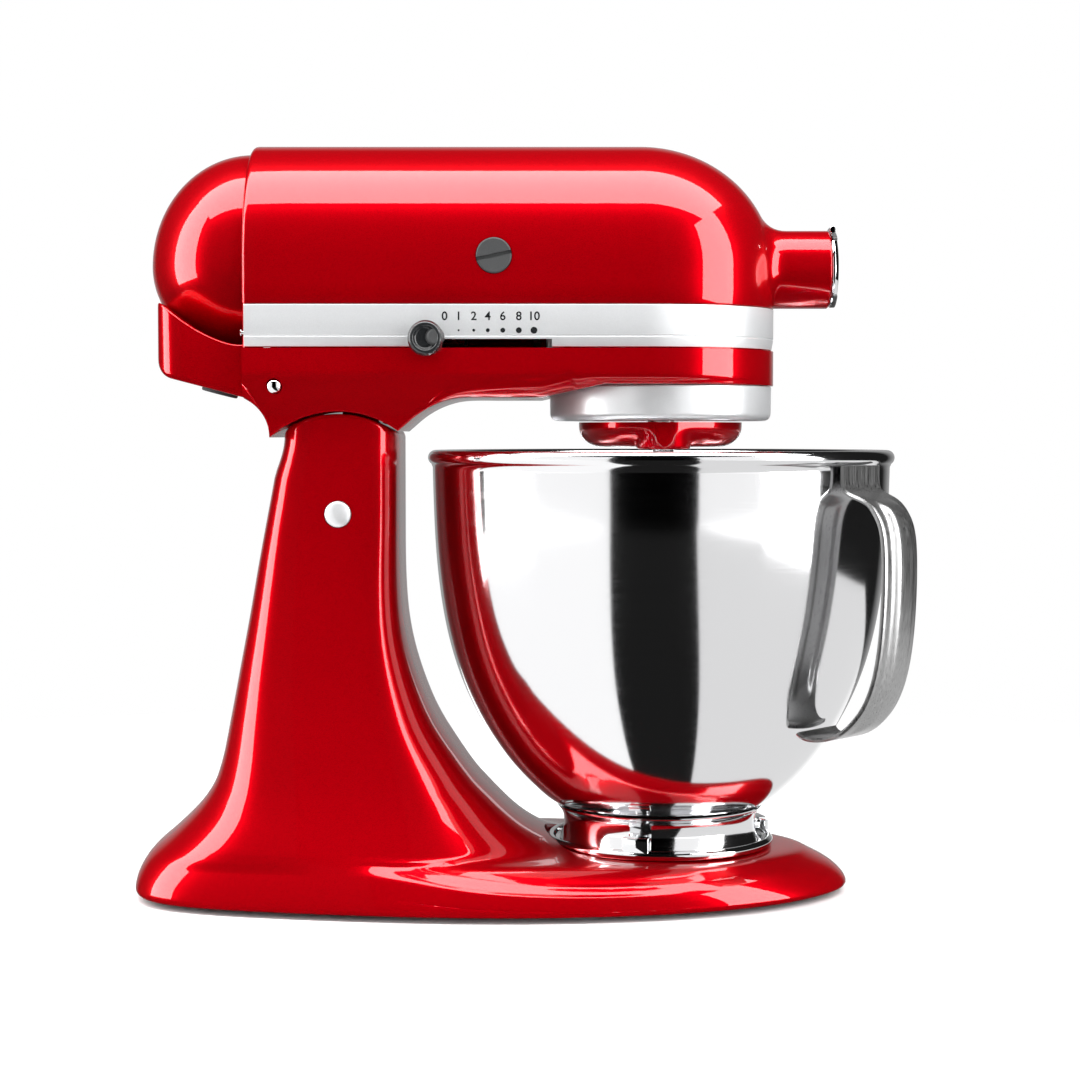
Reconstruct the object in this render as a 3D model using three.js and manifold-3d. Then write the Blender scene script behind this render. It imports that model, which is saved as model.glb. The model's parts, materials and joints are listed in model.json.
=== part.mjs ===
// Tilt-head stand mixer, modelled piece by piece in millimetres.
// +X is the front (the bowl side), +Z is up, and the origin is at floor level under the middle
// of the whole machine. The head tilts about a pin in the top of the pedestal, and a motor in
// the head turns a planetary gear head and a power outlet at the front through a gear train.

import * as THREE from "three";
import { mergeVertices } from "three/addons/utils/BufferGeometryUtils.js";
import Module from "manifold-3d";

const wasm = await Module();
wasm.setup();

// ---------------------------------------------------------------- driving dimensions
const gap = 0.3; // clearance between pieces that touch
const bowlX = 68; // vertical axis of the bowl and of the planetary head
const pedestalX = -80; // vertical axis that the stand's outlines are drawn around
const hinge = { x: -81, z: 180, pinRadius: 6, topRadius: 45.7 };
const lock = { x: -108.7, z: 238, radius: 3.2 };
const wall = 4.5; // thickness of the castings

const head = {
  rear: -123,
  half: 57,
  noseX: 58, // where the straight sides end and the rounded front begins
  noseLength: 63.2,
  shoulderZ: 294.4, // the sides are upright below this height
  topZ: 351.4,
  seamZ: 255.2, // top of the lower housing
};
const band = { low: 255.8, high: 274.8, depth: 1.6 };
const drip = { radius: 52.3, low: 222.7, high: 238.8 };
const hub = { z: 294, radius: 18.3, bore: 13.5, start: 100, end: 147 };
const motor = { z: 296.5, statorRadius: 44, statorBore: 27.5, coreRadius: 26.5, commutatorX: -9.7 };

const planetary = { radius: 38.5, low: 210.3, high: 222, beaterOffset: 28 };
const ringGear = { teeth: 36, pitch: 42, low: 226, high: 236 };
const pinion = { teeth: 12, pitch: 14 };
const spurGear = { teeth: 24, pitch: 25.34, low: 255.5, high: 262.5 };
const spurPinion = { teeth: 12, pitch: 12.67 };
const wormWheel = { teeth: 24, pitch: 19.2, width: 7, x: 40, y: 25.7 };
const worm = { pitch: 6.5, root: 4.7, tip: 7.8, length: 30, lead: 2 * Math.PI * 1.6 };
const bevel = { teeth: 16, pitch: 20, inner: 0.72 };

const bowl = { rimRadius: 110, rimZ: 209, floorZ: 42, sheet: 1.2, footRadius: 46.5, footLow: 24.6 };
const plate = { radius: 54, low: 22.3, high: 24.3, rim: 26 };
const handle = { turn: THREE.MathUtils.degToRad(-39), width: 30, strap: 2.6 };
const grommet = { x: -143, y: 20, z: 238.6, tilt: 14.6 }; // square to the scoop's sloping underside
const speed = { knobX: -39.8, knobZ: 259, knobRadius: 8, travel: 42, slotEnd: 16.4 };

// ---------------------------------------------------------------- finishes
const finish = (color, roughness, metalness) =>
  new THREE.MeshStandardMaterial({ color, roughness, metalness });
const redLacquer = () => finish(0xc8000f, 0.25, 0.5);
const polishedSteel = () => finish(0xd8d8d8, 0.12, 1);
const satinSilver = () => finish(0xc9cbcd, 0.4, 0.9);
const castAluminium = () => finish(0xa9acb0, 0.55, 0.9);
const gearSteel = () => finish(0x85888c, 0.4, 1);
const bronze = () => finish(0xb07a3a, 0.45, 1);
const copper = () => finish(0xb4653a, 0.4, 1);
const blackGloss = () => finish(0x141414, 0.2, 0);
const blackMatte = () => finish(0x1c1c1c, 0.7, 0);
const rubber = () => finish(0x2a2a2a, 0.9, 0);
const carbon = () => finish(0x333333, 0.8, 0);

// ---------------------------------------------------------------- geometry helpers

/** Signed volume of an indexed triangle mesh; negative when the faces point inwards. */
function signedVolume(positions, index) {
  let volume = 0;
  for (let i = 0; i < index.length; i += 3) {
    const [a, b, c] = [index[i] * 3, index[i + 1] * 3, index[i + 2] * 3];
    volume += positions[a] * (positions[b + 1] * positions[c + 2] - positions[b + 2] * positions[c + 1]);
    volume += positions[a + 1] * (positions[b + 2] * positions[c] - positions[b] * positions[c + 2]);
    volume += positions[a + 2] * (positions[b] * positions[c + 1] - positions[b + 1] * positions[c]);
  }
  return volume / 6;
}

/** Turns a geometry into a closed solid with shared vertices and outward faces. */
function solid(geometry) {
  const bare = geometry.clone();
  bare.deleteAttribute("normal");
  bare.deleteAttribute("uv");
  const merged = mergeVertices(bare, 1e-4);
  const positions = merged.attributes.position.array;
  const kept = [];
  const index = merged.index.array;
  for (let i = 0; i < index.length; i += 3) {
    const [a, b, c] = [index[i], index[i + 1], index[i + 2]];
    if (a !== b && b !== c && c !== a) kept.push(a, b, c);
  }
  if (signedVolume(positions, kept) < 0) {
    for (let i = 0; i < kept.length; i += 3) [kept[i], kept[i + 1]] = [kept[i + 1], kept[i]];
  }
  return new wasm.Manifold(
    new wasm.Mesh({
      numProp: 3,
      vertProperties: new Float32Array(positions),
      triVerts: new Uint32Array(kept),
    }),
  );
}

/** A solid back as three.js geometry. */
function surface(body) {
  const mesh = body.getMesh();
  const geometry = new THREE.BufferGeometry();
  geometry.setAttribute("position", new THREE.BufferAttribute(new Float32Array(mesh.vertProperties), 3));
  geometry.setIndex(new THREE.BufferAttribute(new Uint32Array(mesh.triVerts), 1));
  geometry.computeVertexNormals();
  return geometry;
}

/** Joins the first solid with all the others. */
const join = (first, ...others) => others.reduce((sum, other) => sum.add(other), first);

/** Cuts every other solid out of the first. */
const cut = (first, ...tools) => tools.reduce((rest, tool) => rest.subtract(tool), first);

/** A closed skin over a stack of rings that all have the same number of points. */
function loft(rings) {
  const count = rings[0].length;
  const last = (rings.length - 1) * count;
  const positions = rings.flat().flatMap((point) => [point.x, point.y, point.z]);
  const index = [];
  for (let ring = 0; ring < rings.length - 1; ring++) {
    for (let i = 0; i < count; i++) {
      const a = ring * count + i;
      const b = ring * count + ((i + 1) % count);
      index.push(a, b, b + count, a, b + count, a + count);
    }
  }
  for (const [start, along] of [[0, false], [last, true]]) {
    const outline = flatten(rings[start / count]);
    const ringTurn = THREE.ShapeUtils.area(outline);
    for (const triangle of THREE.ShapeUtils.triangulateShape(outline, [])) {
      const sameTurn = THREE.ShapeUtils.area(triangle.map((i) => outline[i])) * ringTurn > 0;
      const [a, b, c] = triangle.map((i) => start + i);
      index.push(...(sameTurn === along ? [a, b, c] : [a, c, b]));
    }
  }
  const geometry = new THREE.BufferGeometry();
  geometry.setAttribute("position", new THREE.Float32BufferAttribute(positions, 3));
  geometry.setIndex(index);
  return solid(geometry);
}

/** A ring of points as a flat outline, dropped along the axis in which it is thinnest. */
function flatten(ring) {
  const size = new THREE.Box3().setFromPoints(ring).getSize(new THREE.Vector3());
  if (size.x < size.z && size.x < size.y) return ring.map((p) => new THREE.Vector2(p.y, p.z));
  return ring.map((p) => new THREE.Vector2(p.x, p.y));
}

const place = (geometry, x, y, z) => solid(geometry.translate(x, y, z));

const box = (low, high) =>
  place(
    new THREE.BoxGeometry(high[0] - low[0], high[1] - low[1], high[2] - low[2]),
    (low[0] + high[0]) / 2,
    (low[1] + high[1]) / 2,
    (low[2] + high[2]) / 2,
  );

/** Round bars along each axis, from one coordinate to another on that axis. */
const barX = (radius, from, to, y, z, sides = 18) =>
  place(
    new THREE.CylinderGeometry(radius, radius, to - from, sides).rotateZ(Math.PI / 2),
    (from + to) / 2,
    y,
    z,
  );
const barY = (radius, from, to, x, z, sides = 18) =>
  place(new THREE.CylinderGeometry(radius, radius, to - from, sides), x, (from + to) / 2, z);
const barZ = (radius, from, to, x, y, sides = 18) =>
  place(
    new THREE.CylinderGeometry(radius, radius, to - from, sides).rotateX(Math.PI / 2),
    x,
    y,
    (from + to) / 2,
  );

/** A body of revolution about Z from [radius, height] pairs. */
const turned = (profile, sides = 40) =>
  solid(new THREE.LatheGeometry(profile.map(([r, z]) => new THREE.Vector2(r, z)), sides).rotateX(Math.PI / 2));

/** A ring with a rectangular section about Z. */
const washer = (inner, outer, low, high, sides = 20) =>
  turned([[inner, low], [outer, low], [outer, high], [inner, high], [inner, low]], sides);

/** A side profile of [x, z] pairs, extruded across the machine between two values of y. */
function sidePrism(profile, low, high) {
  const shape = new THREE.Shape(profile.map(([x, z]) => new THREE.Vector2(x, z)));
  const slab = new THREE.ExtrudeGeometry(shape, { depth: high - low, bevelEnabled: false });
  return place(slab.rotateX(Math.PI / 2), 0, high, 0);
}

/** A flat outline of [x, y] pairs, extruded upwards. */
function upPrism(outline, low, high) {
  const shape = new THREE.Shape(outline.map(([x, y]) => new THREE.Vector2(x, y)));
  return place(new THREE.ExtrudeGeometry(shape, { depth: high - low, bevelEnabled: false }), 0, 0, low);
}

const group = (...children) => new THREE.Group().add(...children);

function mesh(name, body, material) {
  const piece = new THREE.Mesh(surface(body), material);
  piece.name = name;
  return piece;
}

// ---------------------------------------------------------------- gear teeth

/** Outline of a spur gear: straight-sided teeth, the first one centred on the start angle. */
function toothOutline({ teeth, root, tip, start = 0, rootShare = 0.56, tipShare = 0.22 }) {
  const pitchAngle = (2 * Math.PI) / teeth;
  const points = [];
  for (let tooth = 0; tooth < teeth; tooth++) {
    const centre = start + tooth * pitchAngle;
    for (const [radius, share] of [[root, -rootShare], [tip, -tipShare], [tip, tipShare], [root, rootShare]]) {
      const angle = centre + (share * pitchAngle) / 2;
      points.push([radius * Math.cos(angle), radius * Math.sin(angle)]);
    }
  }
  return points;
}

const ringAt = (outline, z, scale = 1, twist = 0) =>
  outline.map(([x, y]) =>
    new THREE.Vector3(x * scale, y * scale, z).applyAxisAngle(new THREE.Vector3(0, 0, 1), twist));

/** A spur gear about Z with its bore; addendum and dedendum follow its tooth size. */
function spur({ teeth, pitch, start }, low, high, bore) {
  const toothSize = (2 * pitch) / teeth;
  const outline = toothOutline({ teeth, root: pitch - 1.15 * toothSize, tip: pitch + 0.8 * toothSize, start });
  return cut(upPrism(outline, low, high), barZ(bore, low - 1, high + 1, 0, 0));
}

/** A straight bevel gear about Z that tapers towards an apex above it. */
function bevelGear(start, bore) {
  const toothSize = (2 * bevel.pitch) / bevel.teeth;
  const outline = toothOutline({
    teeth: bevel.teeth,
    root: bevel.pitch - 1.3 * toothSize,
    tip: bevel.pitch + 0.7 * toothSize,
    start,
  });
  const cone = loft([
    ringAt(outline, -bevel.pitch),
    ringAt(outline, -bevel.pitch * bevel.inner, bevel.inner),
  ]);
  const back = barZ(bevel.pitch - 1.6 * toothSize, -bevel.pitch - 3, -bevel.pitch + 1, 0, 0);
  return cut(join(cone, back), barZ(bore, -bevel.pitch - 5, 0, 0, 0));
}

/** A two-start worm about Z: the radius rises to a crest wherever the thread passes. */
function wormThread() {
  const sides = 16;
  const slices = 30;
  const rings = [];
  for (let slice = 0; slice <= slices; slice++) {
    const z = (slice / slices - 0.5) * worm.length;
    const ring = [];
    for (let side = 0; side < sides; side++) {
      const angle = (2 * Math.PI * side) / sides;
      const crest = Math.abs(Math.cos(angle - (2 * Math.PI * z) / worm.lead));
      const height = THREE.MathUtils.smoothstep(crest, 0.62, 0.93);
      const radius = worm.root + (worm.tip - worm.root) * height;
      ring.push(new THREE.Vector3(radius * Math.cos(angle), radius * Math.sin(angle), z));
    }
    rings.push(ring);
  }
  return loft(rings);
}

// ---------------------------------------------------------------- the stand

const hookAngles = [-105, 15, 135]; // degrees round the bowl's axis, the same as the bowl's lugs
const screwSpots = [75, 195, 315].map((degrees) => {
  const angle = THREE.MathUtils.degToRad(degrees);
  return [bowlX + 34 * Math.cos(angle), 34 * Math.sin(angle)];
});
const footSpots = [[-150, 36], [-150, -36], [30, 62], [30, -62], [128, 0]];

/** Half of the base's outline at the floor, from the nose round to the back. */
const baseOutline = new THREE.SplineCurve(
  [
    [157, 0], [150, 25], [125, 51], [91, 69], [49, 80], [1, 84], [-49, 81.5],
    [-114, 70.5], [-150, 60], [-170, 46], [-178, 25], [-180, 0],
  ].map(([x, y]) => new THREE.Vector2(x, y)),
);

/**
 * Levels of the stand from the top of the pedestal down to the edge of the base. Each gives the
 * distance from the pedestal's axis to the front, side and back, and the height there. square is
 * how boxy the pedestal is, and spread is how far the level has become the base's outline.
 */
const standLevels = [
  { front: [26, 232], side: [46, 232], back: [27.5, 232], square: 5, spread: 0 },
  { front: [26, 215], side: [46, 215], back: [28.9, 215], square: 5, spread: 0 },
  { front: [26, 177], side: [46.8, 177], back: [36, 177], square: 5, spread: 0 },
  { front: [26.2, 155], side: [48, 155], back: [40.3, 155], square: 4.6, spread: 0 },
  { front: [27.5, 132], side: [50, 132], back: [44.4, 132], square: 4.3, spread: 0 },
  { front: [31.5, 112], side: [52, 112], back: [48.4, 112], square: 4, spread: 0 },
  { front: [38, 93.5], side: [54.3, 93.5], back: [52, 93.5], square: 3.7, spread: 0 },
  { front: [44, 81], side: [56.3, 81], back: [54.6, 81], square: 3.5, spread: 0 },
  { front: [51.5, 69.5], side: [58.3, 69.5], back: [57, 69.5], square: 3.3, spread: 0 },
  { front: [60, 57.5], side: [60.5, 57.5], back: [60.5, 57.5], square: 3.1, spread: 0 },
  { front: [66, 51], side: [62, 51], back: [63.8, 51], square: 3, spread: 0 },
  { front: [73, 44], side: [64.3, 44], back: [68.5, 44], square: 2.9, spread: 0.03 },
  { front: [82.6, 35.5], side: [67.8, 35.5], back: [76.5, 35.5], square: 2.8, spread: 0.08 },
  { front: [95, 28.5], side: [70.7, 28.5], back: [84, 28.5], square: 2.7, spread: 0.18 },
  { front: [110, 24.3], side: [72.4, 24.6], back: [89, 24.3], square: 2.6, spread: 0.32 },
  { front: [135, 22.3], side: [73.4, 21.8], back: [92, 21.4], square: 2.6, spread: 0.55 },
  { front: [205, 21.8], side: [74.6, 18.6], back: [94.4, 18.6], square: 2.6, spread: 1 },
  { front: [217, 19.3], side: [75.8, 15.2], back: [96.6, 15.2], square: 2.6, spread: 1 },
  { front: [228, 14.4], side: [76.8, 11.2], back: [98.6, 11.2], square: 2.6, spread: 1 },
  { front: [235, 8.4], side: [77.6, 7], back: [99.8, 7], square: 2.6, spread: 1 },
  { front: [237, 4.2], side: [77.8, 4], back: [100, 4], square: 2.6, spread: 1 },
  { front: [235.4, 2.6], side: [76.4, 2.6], back: [98.6, 2.6], square: 2.6, spread: 1 },
];

/** Directions and distances of the base's outline as seen from the pedestal's axis. */
function baseDirections(count) {
  const half = baseOutline.getSpacedPoints(count / 2);
  const right = half.slice(1, -1).reverse().map((p) => new THREE.Vector2(p.x, -p.y));
  return [...half, ...right].map((point) => {
    const along = point.x - pedestalX;
    return { angle: Math.atan2(point.y, along), radius: Math.hypot(point.y, along) };
  });
}

/** One level of the stand as a ring of points, drawn in by an inset and lowered by a drop. */
function standRing(level, directions, inset = 0, drop = 0) {
  const sideRadius = directions.reduce((best, d) =>
    (Math.abs(Math.abs(d.angle) - Math.PI / 2) < Math.abs(Math.abs(best.angle) - Math.PI / 2) ? d : best)).radius;
  const end = { front: 157 - pedestalX, back: 180 + pedestalX };
  return directions.map(({ angle, radius }) => {
    const key = Math.cos(angle) > 0 ? "front" : "back";
    const [reach, height] = level[key];
    const share = Math.cos(angle) ** 2;
    const power = level.square;
    const boxy =
      (Math.abs(Math.cos(angle) / reach) ** power + Math.abs(Math.sin(angle) / level.side[0]) ** power) **
      (-1 / power);
    const scale = THREE.MathUtils.lerp(level.side[0] / sideRadius, reach / end[key], share);
    const distance = THREE.MathUtils.lerp(boxy, radius * scale, level.spread) - inset;
    const z = THREE.MathUtils.lerp(level.side[1], height, share) - drop;
    return new THREE.Vector3(pedestalX + distance * Math.cos(angle), distance * Math.sin(angle), z);
  });
}

/** The stand's casting: base and pedestal in one, hollow and open below. */
function standCasting() {
  const directions = baseDirections(36);
  const outside = loft(standLevels.map((level) => standRing(level, directions)));
  const insideLevels = standLevels
    .filter((level, i) => i % 2 === 1)
    .map((level) => standRing(level, directions, wall, wall));
  const below = insideLevels.at(-1).map((point) => new THREE.Vector3(point.x, point.y, -5));
  const inside = loft([...insideLevels, below]);
  const aboveHinge = box([-140, -60, hinge.z], [-20, 60, 240]);
  const roundTop = barY(hinge.topRadius, -61, 61, hinge.x, hinge.z, 40);
  const tongueSlot = box([-109, -20.5, hinge.z + 10], [-61, 20.5, 240]);
  const swingSlot = box([-130, -20.5, 205], [-105, 20.5, 240]);
  const plateSeat = barZ(plate.radius + 0.9, 22, 60, bowlX, 0, 36);
  const screwHoles = screwSpots.map(([x, y]) => barZ(2.2, 10, 30, x, y, 10));
  const footBosses = footSpots.map(([x, y]) => barZ(9, 2.6, 32, x, y, 12).intersect(outside));
  const hingeBosses = [[-44, -23.5], [23.5, 44]].map(([low, high]) => barY(11, low, high, hinge.x, hinge.z));
  const pinBore = barY(hinge.pinRadius + gap, -61, 61, hinge.x, hinge.z);
  const shell = cut(outside, inside, cut(aboveHinge, roundTop), tongueSlot, swingSlot, plateSeat, ...screwHoles);
  return cut(join(shell, ...hingeBosses, ...footBosses), pinBore);
}

/** The plate that the bowl locks into: a dished ring with three hooks over the bowl's lugs. */
function clampPlate() {
  const { radius, low, high, rim } = plate;
  const dish = turned(
    [[16, low], [radius - 1, low], [radius, low + 1], [radius, rim - 0.5], [radius - 1.2, rim],
      [radius - 3, rim - 1], [radius - 4, high], [16, high], [16, low]],
    36,
  );
  const hooks = hookAngles.map((angle) => {
    const post = box([radius - 3, -6, high - 1], [radius - 1, 6, 32.6]);
    const finger = box([48, -6, 31], [radius - 1, 6, 32.6]);
    return join(post, finger).rotate([0, 0, angle]);
  });
  return join(dish, ...hooks).translate([bowlX, 0, 0]);
}

/** A countersunk screw standing upright in a plate. */
const plateScrew = () => turned([[0, -8], [1.6, -8], [1.6, -1.6], [3.4, 0], [3.4, 0.9], [0, 1.2]], 10);

const hingePin = () =>
  turned(
    [[0, -48.2], [3, -47.9], [4.75, -46.9], [hinge.pinRadius, -46.7], [hinge.pinRadius, 46.7],
      [4.75, 46.9], [3, 47.9], [0, 48.2]],
    16,
  );

const rubberFoot = () => turned([[0, 0], [8.4, 0], [9, 0.8], [9, 2.3], [0, 2.3]], 12);

function standGroup() {
  const countersinks = screwSpots.map(([x, y]) => barZ(3.8, 20, 25, x, y));
  const parts = [
    mesh("stand", standCasting(), redLacquer()),
    mesh("bowl_clamp_plate", cut(clampPlate(), ...countersinks), polishedSteel()),
  ];
  screwSpots.forEach(([x, y], i) => {
    const screw = mesh(`clamp_screw_${i + 1}`, plateScrew(), gearSteel());
    screw.position.set(x, y, 23.2);
    parts.push(screw);
  });
  const pin = mesh("hinge_pin", hingePin(), polishedSteel());
  pin.position.set(hinge.x, 0, hinge.z);
  pin.rotation.x = Math.PI / 2;
  parts.push(pin);
  footSpots.forEach(([x, y], i) => {
    const foot = mesh(`foot_${i + 1}`, rubberFoot(), rubber());
    foot.position.set(x, y, 0);
    parts.push(foot);
  });
  return group(...parts);
}

// ---------------------------------------------------------------- the head's castings

/**
 * The head's outline from above as a ring at one height: a flat back, straight sides and a
 * rounded nose. narrow scales its width and nose, and inset draws it in all round.
 */
function headRing(z, { narrow = 1, inset = 0, back = head.rear } = {}) {
  const half = Math.max(head.half * narrow - inset, 0.5);
  const length = Math.max(head.noseLength * narrow - inset, 0.5);
  const ring = [new THREE.Vector3(back, -half, z)];
  for (let i = 0; i <= 12; i++) {
    const angle = (Math.PI * i) / 12 - Math.PI / 2;
    ring.push(new THREE.Vector3(head.noseX + length * Math.cos(angle), half * Math.sin(angle), z));
  }
  ring.push(new THREE.Vector3(back, half, z));
  return ring;
}

/** Rings of the head's rounded top, from the shoulder up. */
function domeRings(inset, back) {
  const radius = head.topZ - head.shoulderZ;
  return [0, 18, 34, 49, 62, 73, 83].map((degrees) => {
    const angle = THREE.MathUtils.degToRad(degrees);
    const z = head.shoulderZ + (radius - inset) * Math.sin(angle);
    return headRing(z, { narrow: Math.cos(angle), inset: inset * Math.cos(angle), back });
  });
}

/** The motor housing: the upper half of the head with the power outlet's tube in its nose. */
function upperHousing() {
  const low = head.seamZ + gap;
  const outside = loft([
    headRing(low, { inset: band.depth }),
    headRing(band.high + gap, { inset: band.depth }),
    headRing(band.high + gap + 0.01),
    ...domeRings(0),
  ]);
  const inside = loft([
    headRing(low - 5, { inset: wall, back: head.rear - 10 }),
    ...domeRings(wall, head.rear - 10),
  ]);
  const tube = barX(hub.radius, hub.start, hub.end, 0, hub.z, 32);
  const bore = barX(hub.bore, 90, 160, 0, hub.z, 20);
  const knobHole = barY(3.3, 0, 30, 131, hub.z, 16);
  const leverSlot = box([-46, -70, low - 1], [speed.slotEnd, -45, 259.2]);
  const screwHoles = [-54, 54].map((y) => barX(1.1, -125, -117.5, y, 262, 8));
  const capHoles = [[-70, -40], [40, 70]].map(([from, to]) => barY(8.3, from, to, motor.commutatorX, motor.z));
  return cut(join(cut(outside, inside), tube), bore, knobHole, leverSlot, ...capHoles, ...screwHoles);
}

/** Side profile of the lower housing with the neck that comes down to the pedestal. */
function neckProfile() {
  const neckRadius = hinge.topRadius + 1;
  const curve = new THREE.SplineCurve(
    [[-123, 232.6], [-118.5, 229.6], [-114.6, 224.6], [-112.5, 219.5], [-112, 215]].map(
      ([x, z]) => new THREE.Vector2(x, z)),
  );
  const back = curve.getPoints(6).map((p) => [p.x, p.y]);
  const arc = [];
  for (let i = 0; i <= 12; i++) {
    const angle = THREE.MathUtils.lerp(-41.7, 36, i / 12) * (Math.PI / 180);
    arc.push([hinge.x + neckRadius * Math.sin(angle), hinge.z + neckRadius * Math.cos(angle)]);
  }
  const front = [[-50, 220], [-45, 224.6], [-38, 229], [-30, 232], [-22, 233]];
  const top = head.seamZ + 1;
  const step = drip.high + gap;
  return [[head.rear, top], ...back, ...arc, ...front, [12, 233], [40, step], [123, step], [123, top]];
}

/** The gear case: the lower half of the head, its neck, and the tongue that the pin runs in. */
function lowerHousing() {
  const floor = 243;
  const skirt = loft([
    headRing(233, { inset: 11 }),
    headRing(234.6, { inset: 5.5 }),
    headRing(238, { inset: 1.8 }),
    headRing(243),
    headRing(head.seamZ),
  ]);
  const neck = loft([neckRing(210, 45.8), neckRing(226, 46.5), neckRing(240, 50)]);
  const outside = join(skirt, neck).intersect(sidePrism(neckProfile(), -60, 60));
  const inside = loft([
    headRing(floor, { inset: wall + 2, back: head.rear - 10 }),
    headRing(floor + 3, { inset: wall, back: head.rear - 10 }),
    headRing(head.seamZ + 5, { inset: wall, back: head.rear - 10 }),
  ]);
  const neckHollow = box([-98, -38, 233], [-52, 38, 250]);
  const lockBore = barY(lock.radius + gap, -70, 70, lock.x, lock.z);
  const shaftHole = barZ(13.5, 230, 250, bowlX, 0);
  const ringSeat = barZ(drip.radius + 0.4, 230, drip.high + gap, bowlX, 0, 36);
  const screwHole = barZ(3.6, 230, 236, 5, 0, 16);
  return cut(join(cut(outside, inside, neckHollow), tongue()), lockBore, shaftHole, ringSeat, screwHole, tongueBore());
}

/** A rounded rectangle round the neck at one height. */
function neckRing(z, half) {
  const ring = [];
  for (const [x, y, start] of [[-34, -half + 14, -90], [-34, half - 14, 0], [-112, half - 14, 90], [-112, -half + 14, 180]]) {
    for (let i = 0; i <= 4; i++) {
      const angle = THREE.MathUtils.degToRad(start + 22.5 * i);
      ring.push(new THREE.Vector3(x + 14 * Math.cos(angle), y + 14 * Math.sin(angle), z));
    }
  }
  return ring;
}

/** The lug that hangs inside the pedestal and turns on the hinge pin. */
function tongue() {
  const web = sidePrism([[-81, 178], [-81, 231], [-64, 231], [-64, 222], [-69, 178]], -19, 19);
  const eye = barY(13, -19, 19, hinge.x, hinge.z, 32);
  return join(web, eye);
}
const tongueBore = () => barY(hinge.pinRadius + gap, -30, 30, hinge.x, hinge.z);

/** The domed motor cover at the back, with the air scoop below it. */
function rearCover() {
  const dome = (inset, start) => {
    const rings = [];
    if (start !== head.rear - gap) rings.push(domeSection(start, 1, inset));
    for (const degrees of [0, 22, 42, 60, 76]) {
      const angle = THREE.MathUtils.degToRad(degrees);
      const x = head.rear - gap - (48 - inset) * Math.sin(angle);
      rings.push(domeSection(x, Math.cos(angle), inset * Math.cos(angle)));
    }
    return loft(rings);
  };
  const scoop = (inset, front) => {
    const profile = [[front, 257], [-129, 257], [-145, 264], [-162 + inset, 277], [-163.5 + inset, 266],
      [-163.5 + inset, 249], [-160 + inset, 242.6 + inset], [-124, 233.2 + inset], [front, 233.2 + inset]];
    const plan = [[front, -50 + inset], [-146, -50 + inset], [-157 + inset, -45 + inset], [-163.6 + inset, -34],
      [-163.6 + inset, 34], [-157 + inset, 45 - inset], [-146, 50 - inset], [front, 50 - inset]];
    return sidePrism(profile, -55, 55).intersect(upPrism(plan, 225, 290));
  };
  const outside = join(dome(0, head.rear - gap), scoop(0, head.rear - gap));
  const grommetHole = barZ(7.3, -12, 12, 0, 0).rotate([0, grommet.tilt, 0]).translate([grommet.x, grommet.y, grommet.z]);
  const ventSlots = [-134, -143, -152].map((x) => box([x - 1.6, -34, 230], [x + 1.6, 8, 250]));
  return cut(outside, dome(3, head.rear + 5), scoop(3, head.rear + 5), grommetHole, ...ventSlots);
}

/** One upright section of the rear dome: a half-round top and a shallower rounded bottom. */
function domeSection(x, narrow, inset) {
  const half = 53.2 * narrow - inset;
  const depth = 42 * narrow - inset;
  const ring = [];
  for (let i = 0; i < 24; i++) {
    const angle = (2 * Math.PI * i) / 24;
    const reach = Math.sin(angle) > 0 ? half : depth;
    ring.push(new THREE.Vector3(x, half * Math.cos(angle), head.shoulderZ + reach * Math.sin(angle)));
  }
  return ring;
}

/** The metal band that wraps the sides and nose over the seam. */
function trimBand() {
  const start = head.rear + 1;
  const outside = loft([headRing(band.low, { back: start }), headRing(band.high, { back: start })]);
  const inner = { inset: band.depth - gap, back: start - 5 };
  const inside = loft([headRing(band.low - 5, inner), headRing(band.high + 5, inner)]);
  const leverSlot = box([-46, -70, band.low - 1], [speed.slotEnd, -45, 259.2]);
  return cut(outside, inside, leverSlot);
}

/** The silver ring under the nose that hides the ring gear. */
const dripRing = () =>
  turned(
    [[41, drip.low], [drip.radius - 2, drip.low], [drip.radius, drip.low + 2], [drip.radius, drip.high],
      [drip.radius - 2.2, drip.high], [drip.radius - 2.2, drip.low + 2.4], [41, drip.low + 2.4], [41, drip.low]],
    36,
  );

/** The fixed ring gear: teeth point inwards, with a gap where the pinion sits. */
function internalRing() {
  const toothSize = (2 * ringGear.pitch) / ringGear.teeth;
  const spaces = toothOutline({
    teeth: ringGear.teeth,
    root: ringGear.pitch - 0.75 * toothSize,
    tip: ringGear.pitch + 1.2 * toothSize,
    start: -Math.PI / 2,
    rootShare: 0.78,
    tipShare: 0.44,
  });
  const rim = barZ(ringGear.pitch + 7.2, ringGear.low, drip.high, 0, 0, 36);
  return cut(rim, upPrism(spaces, ringGear.low - 1, ringGear.high + 4));
}

// ---------------------------------------------------------------- fittings of the head

const slottedCap = () =>
  cut(
    turned([[0, 0], [8, 0], [8, 6.6], [7.4, 7.1], [0, 7.1]], 18),
    box([-9, -0.9, 5.4], [9, 0.9, 8]).rotate([0, 0, 12]),
  );
const smallScrew = (headRadius, shaftRadius, length) =>
  turned([[0, -length], [shaftRadius, -length], [shaftRadius, 0], [headRadius, 0], [headRadius, 1.4],
    [headRadius * 0.6, 2.4], [0, 2.6]], 10);
const carbonBrush = () => barZ(4.2, 0, 18, 0, 0, 8);
const brushTube = () => washer(4.8, 6.5, 0, 28, 12);
const cordGrommet = () =>
  turned([[3.6, -3], [8.8, -3], [8.8, -0.6], [6.9, -0.6], [6.9, 4], [3.6, 4], [3.6, -3]], 14);

/** Stands a piece up along Y, with its base towards the middle of the head on the given side. */
function facingSide(piece, x, y, z, side) {
  piece.position.set(x, side * y, z);
  piece.rotation.x = (-side * Math.PI) / 2;
  return piece;
}

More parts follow.
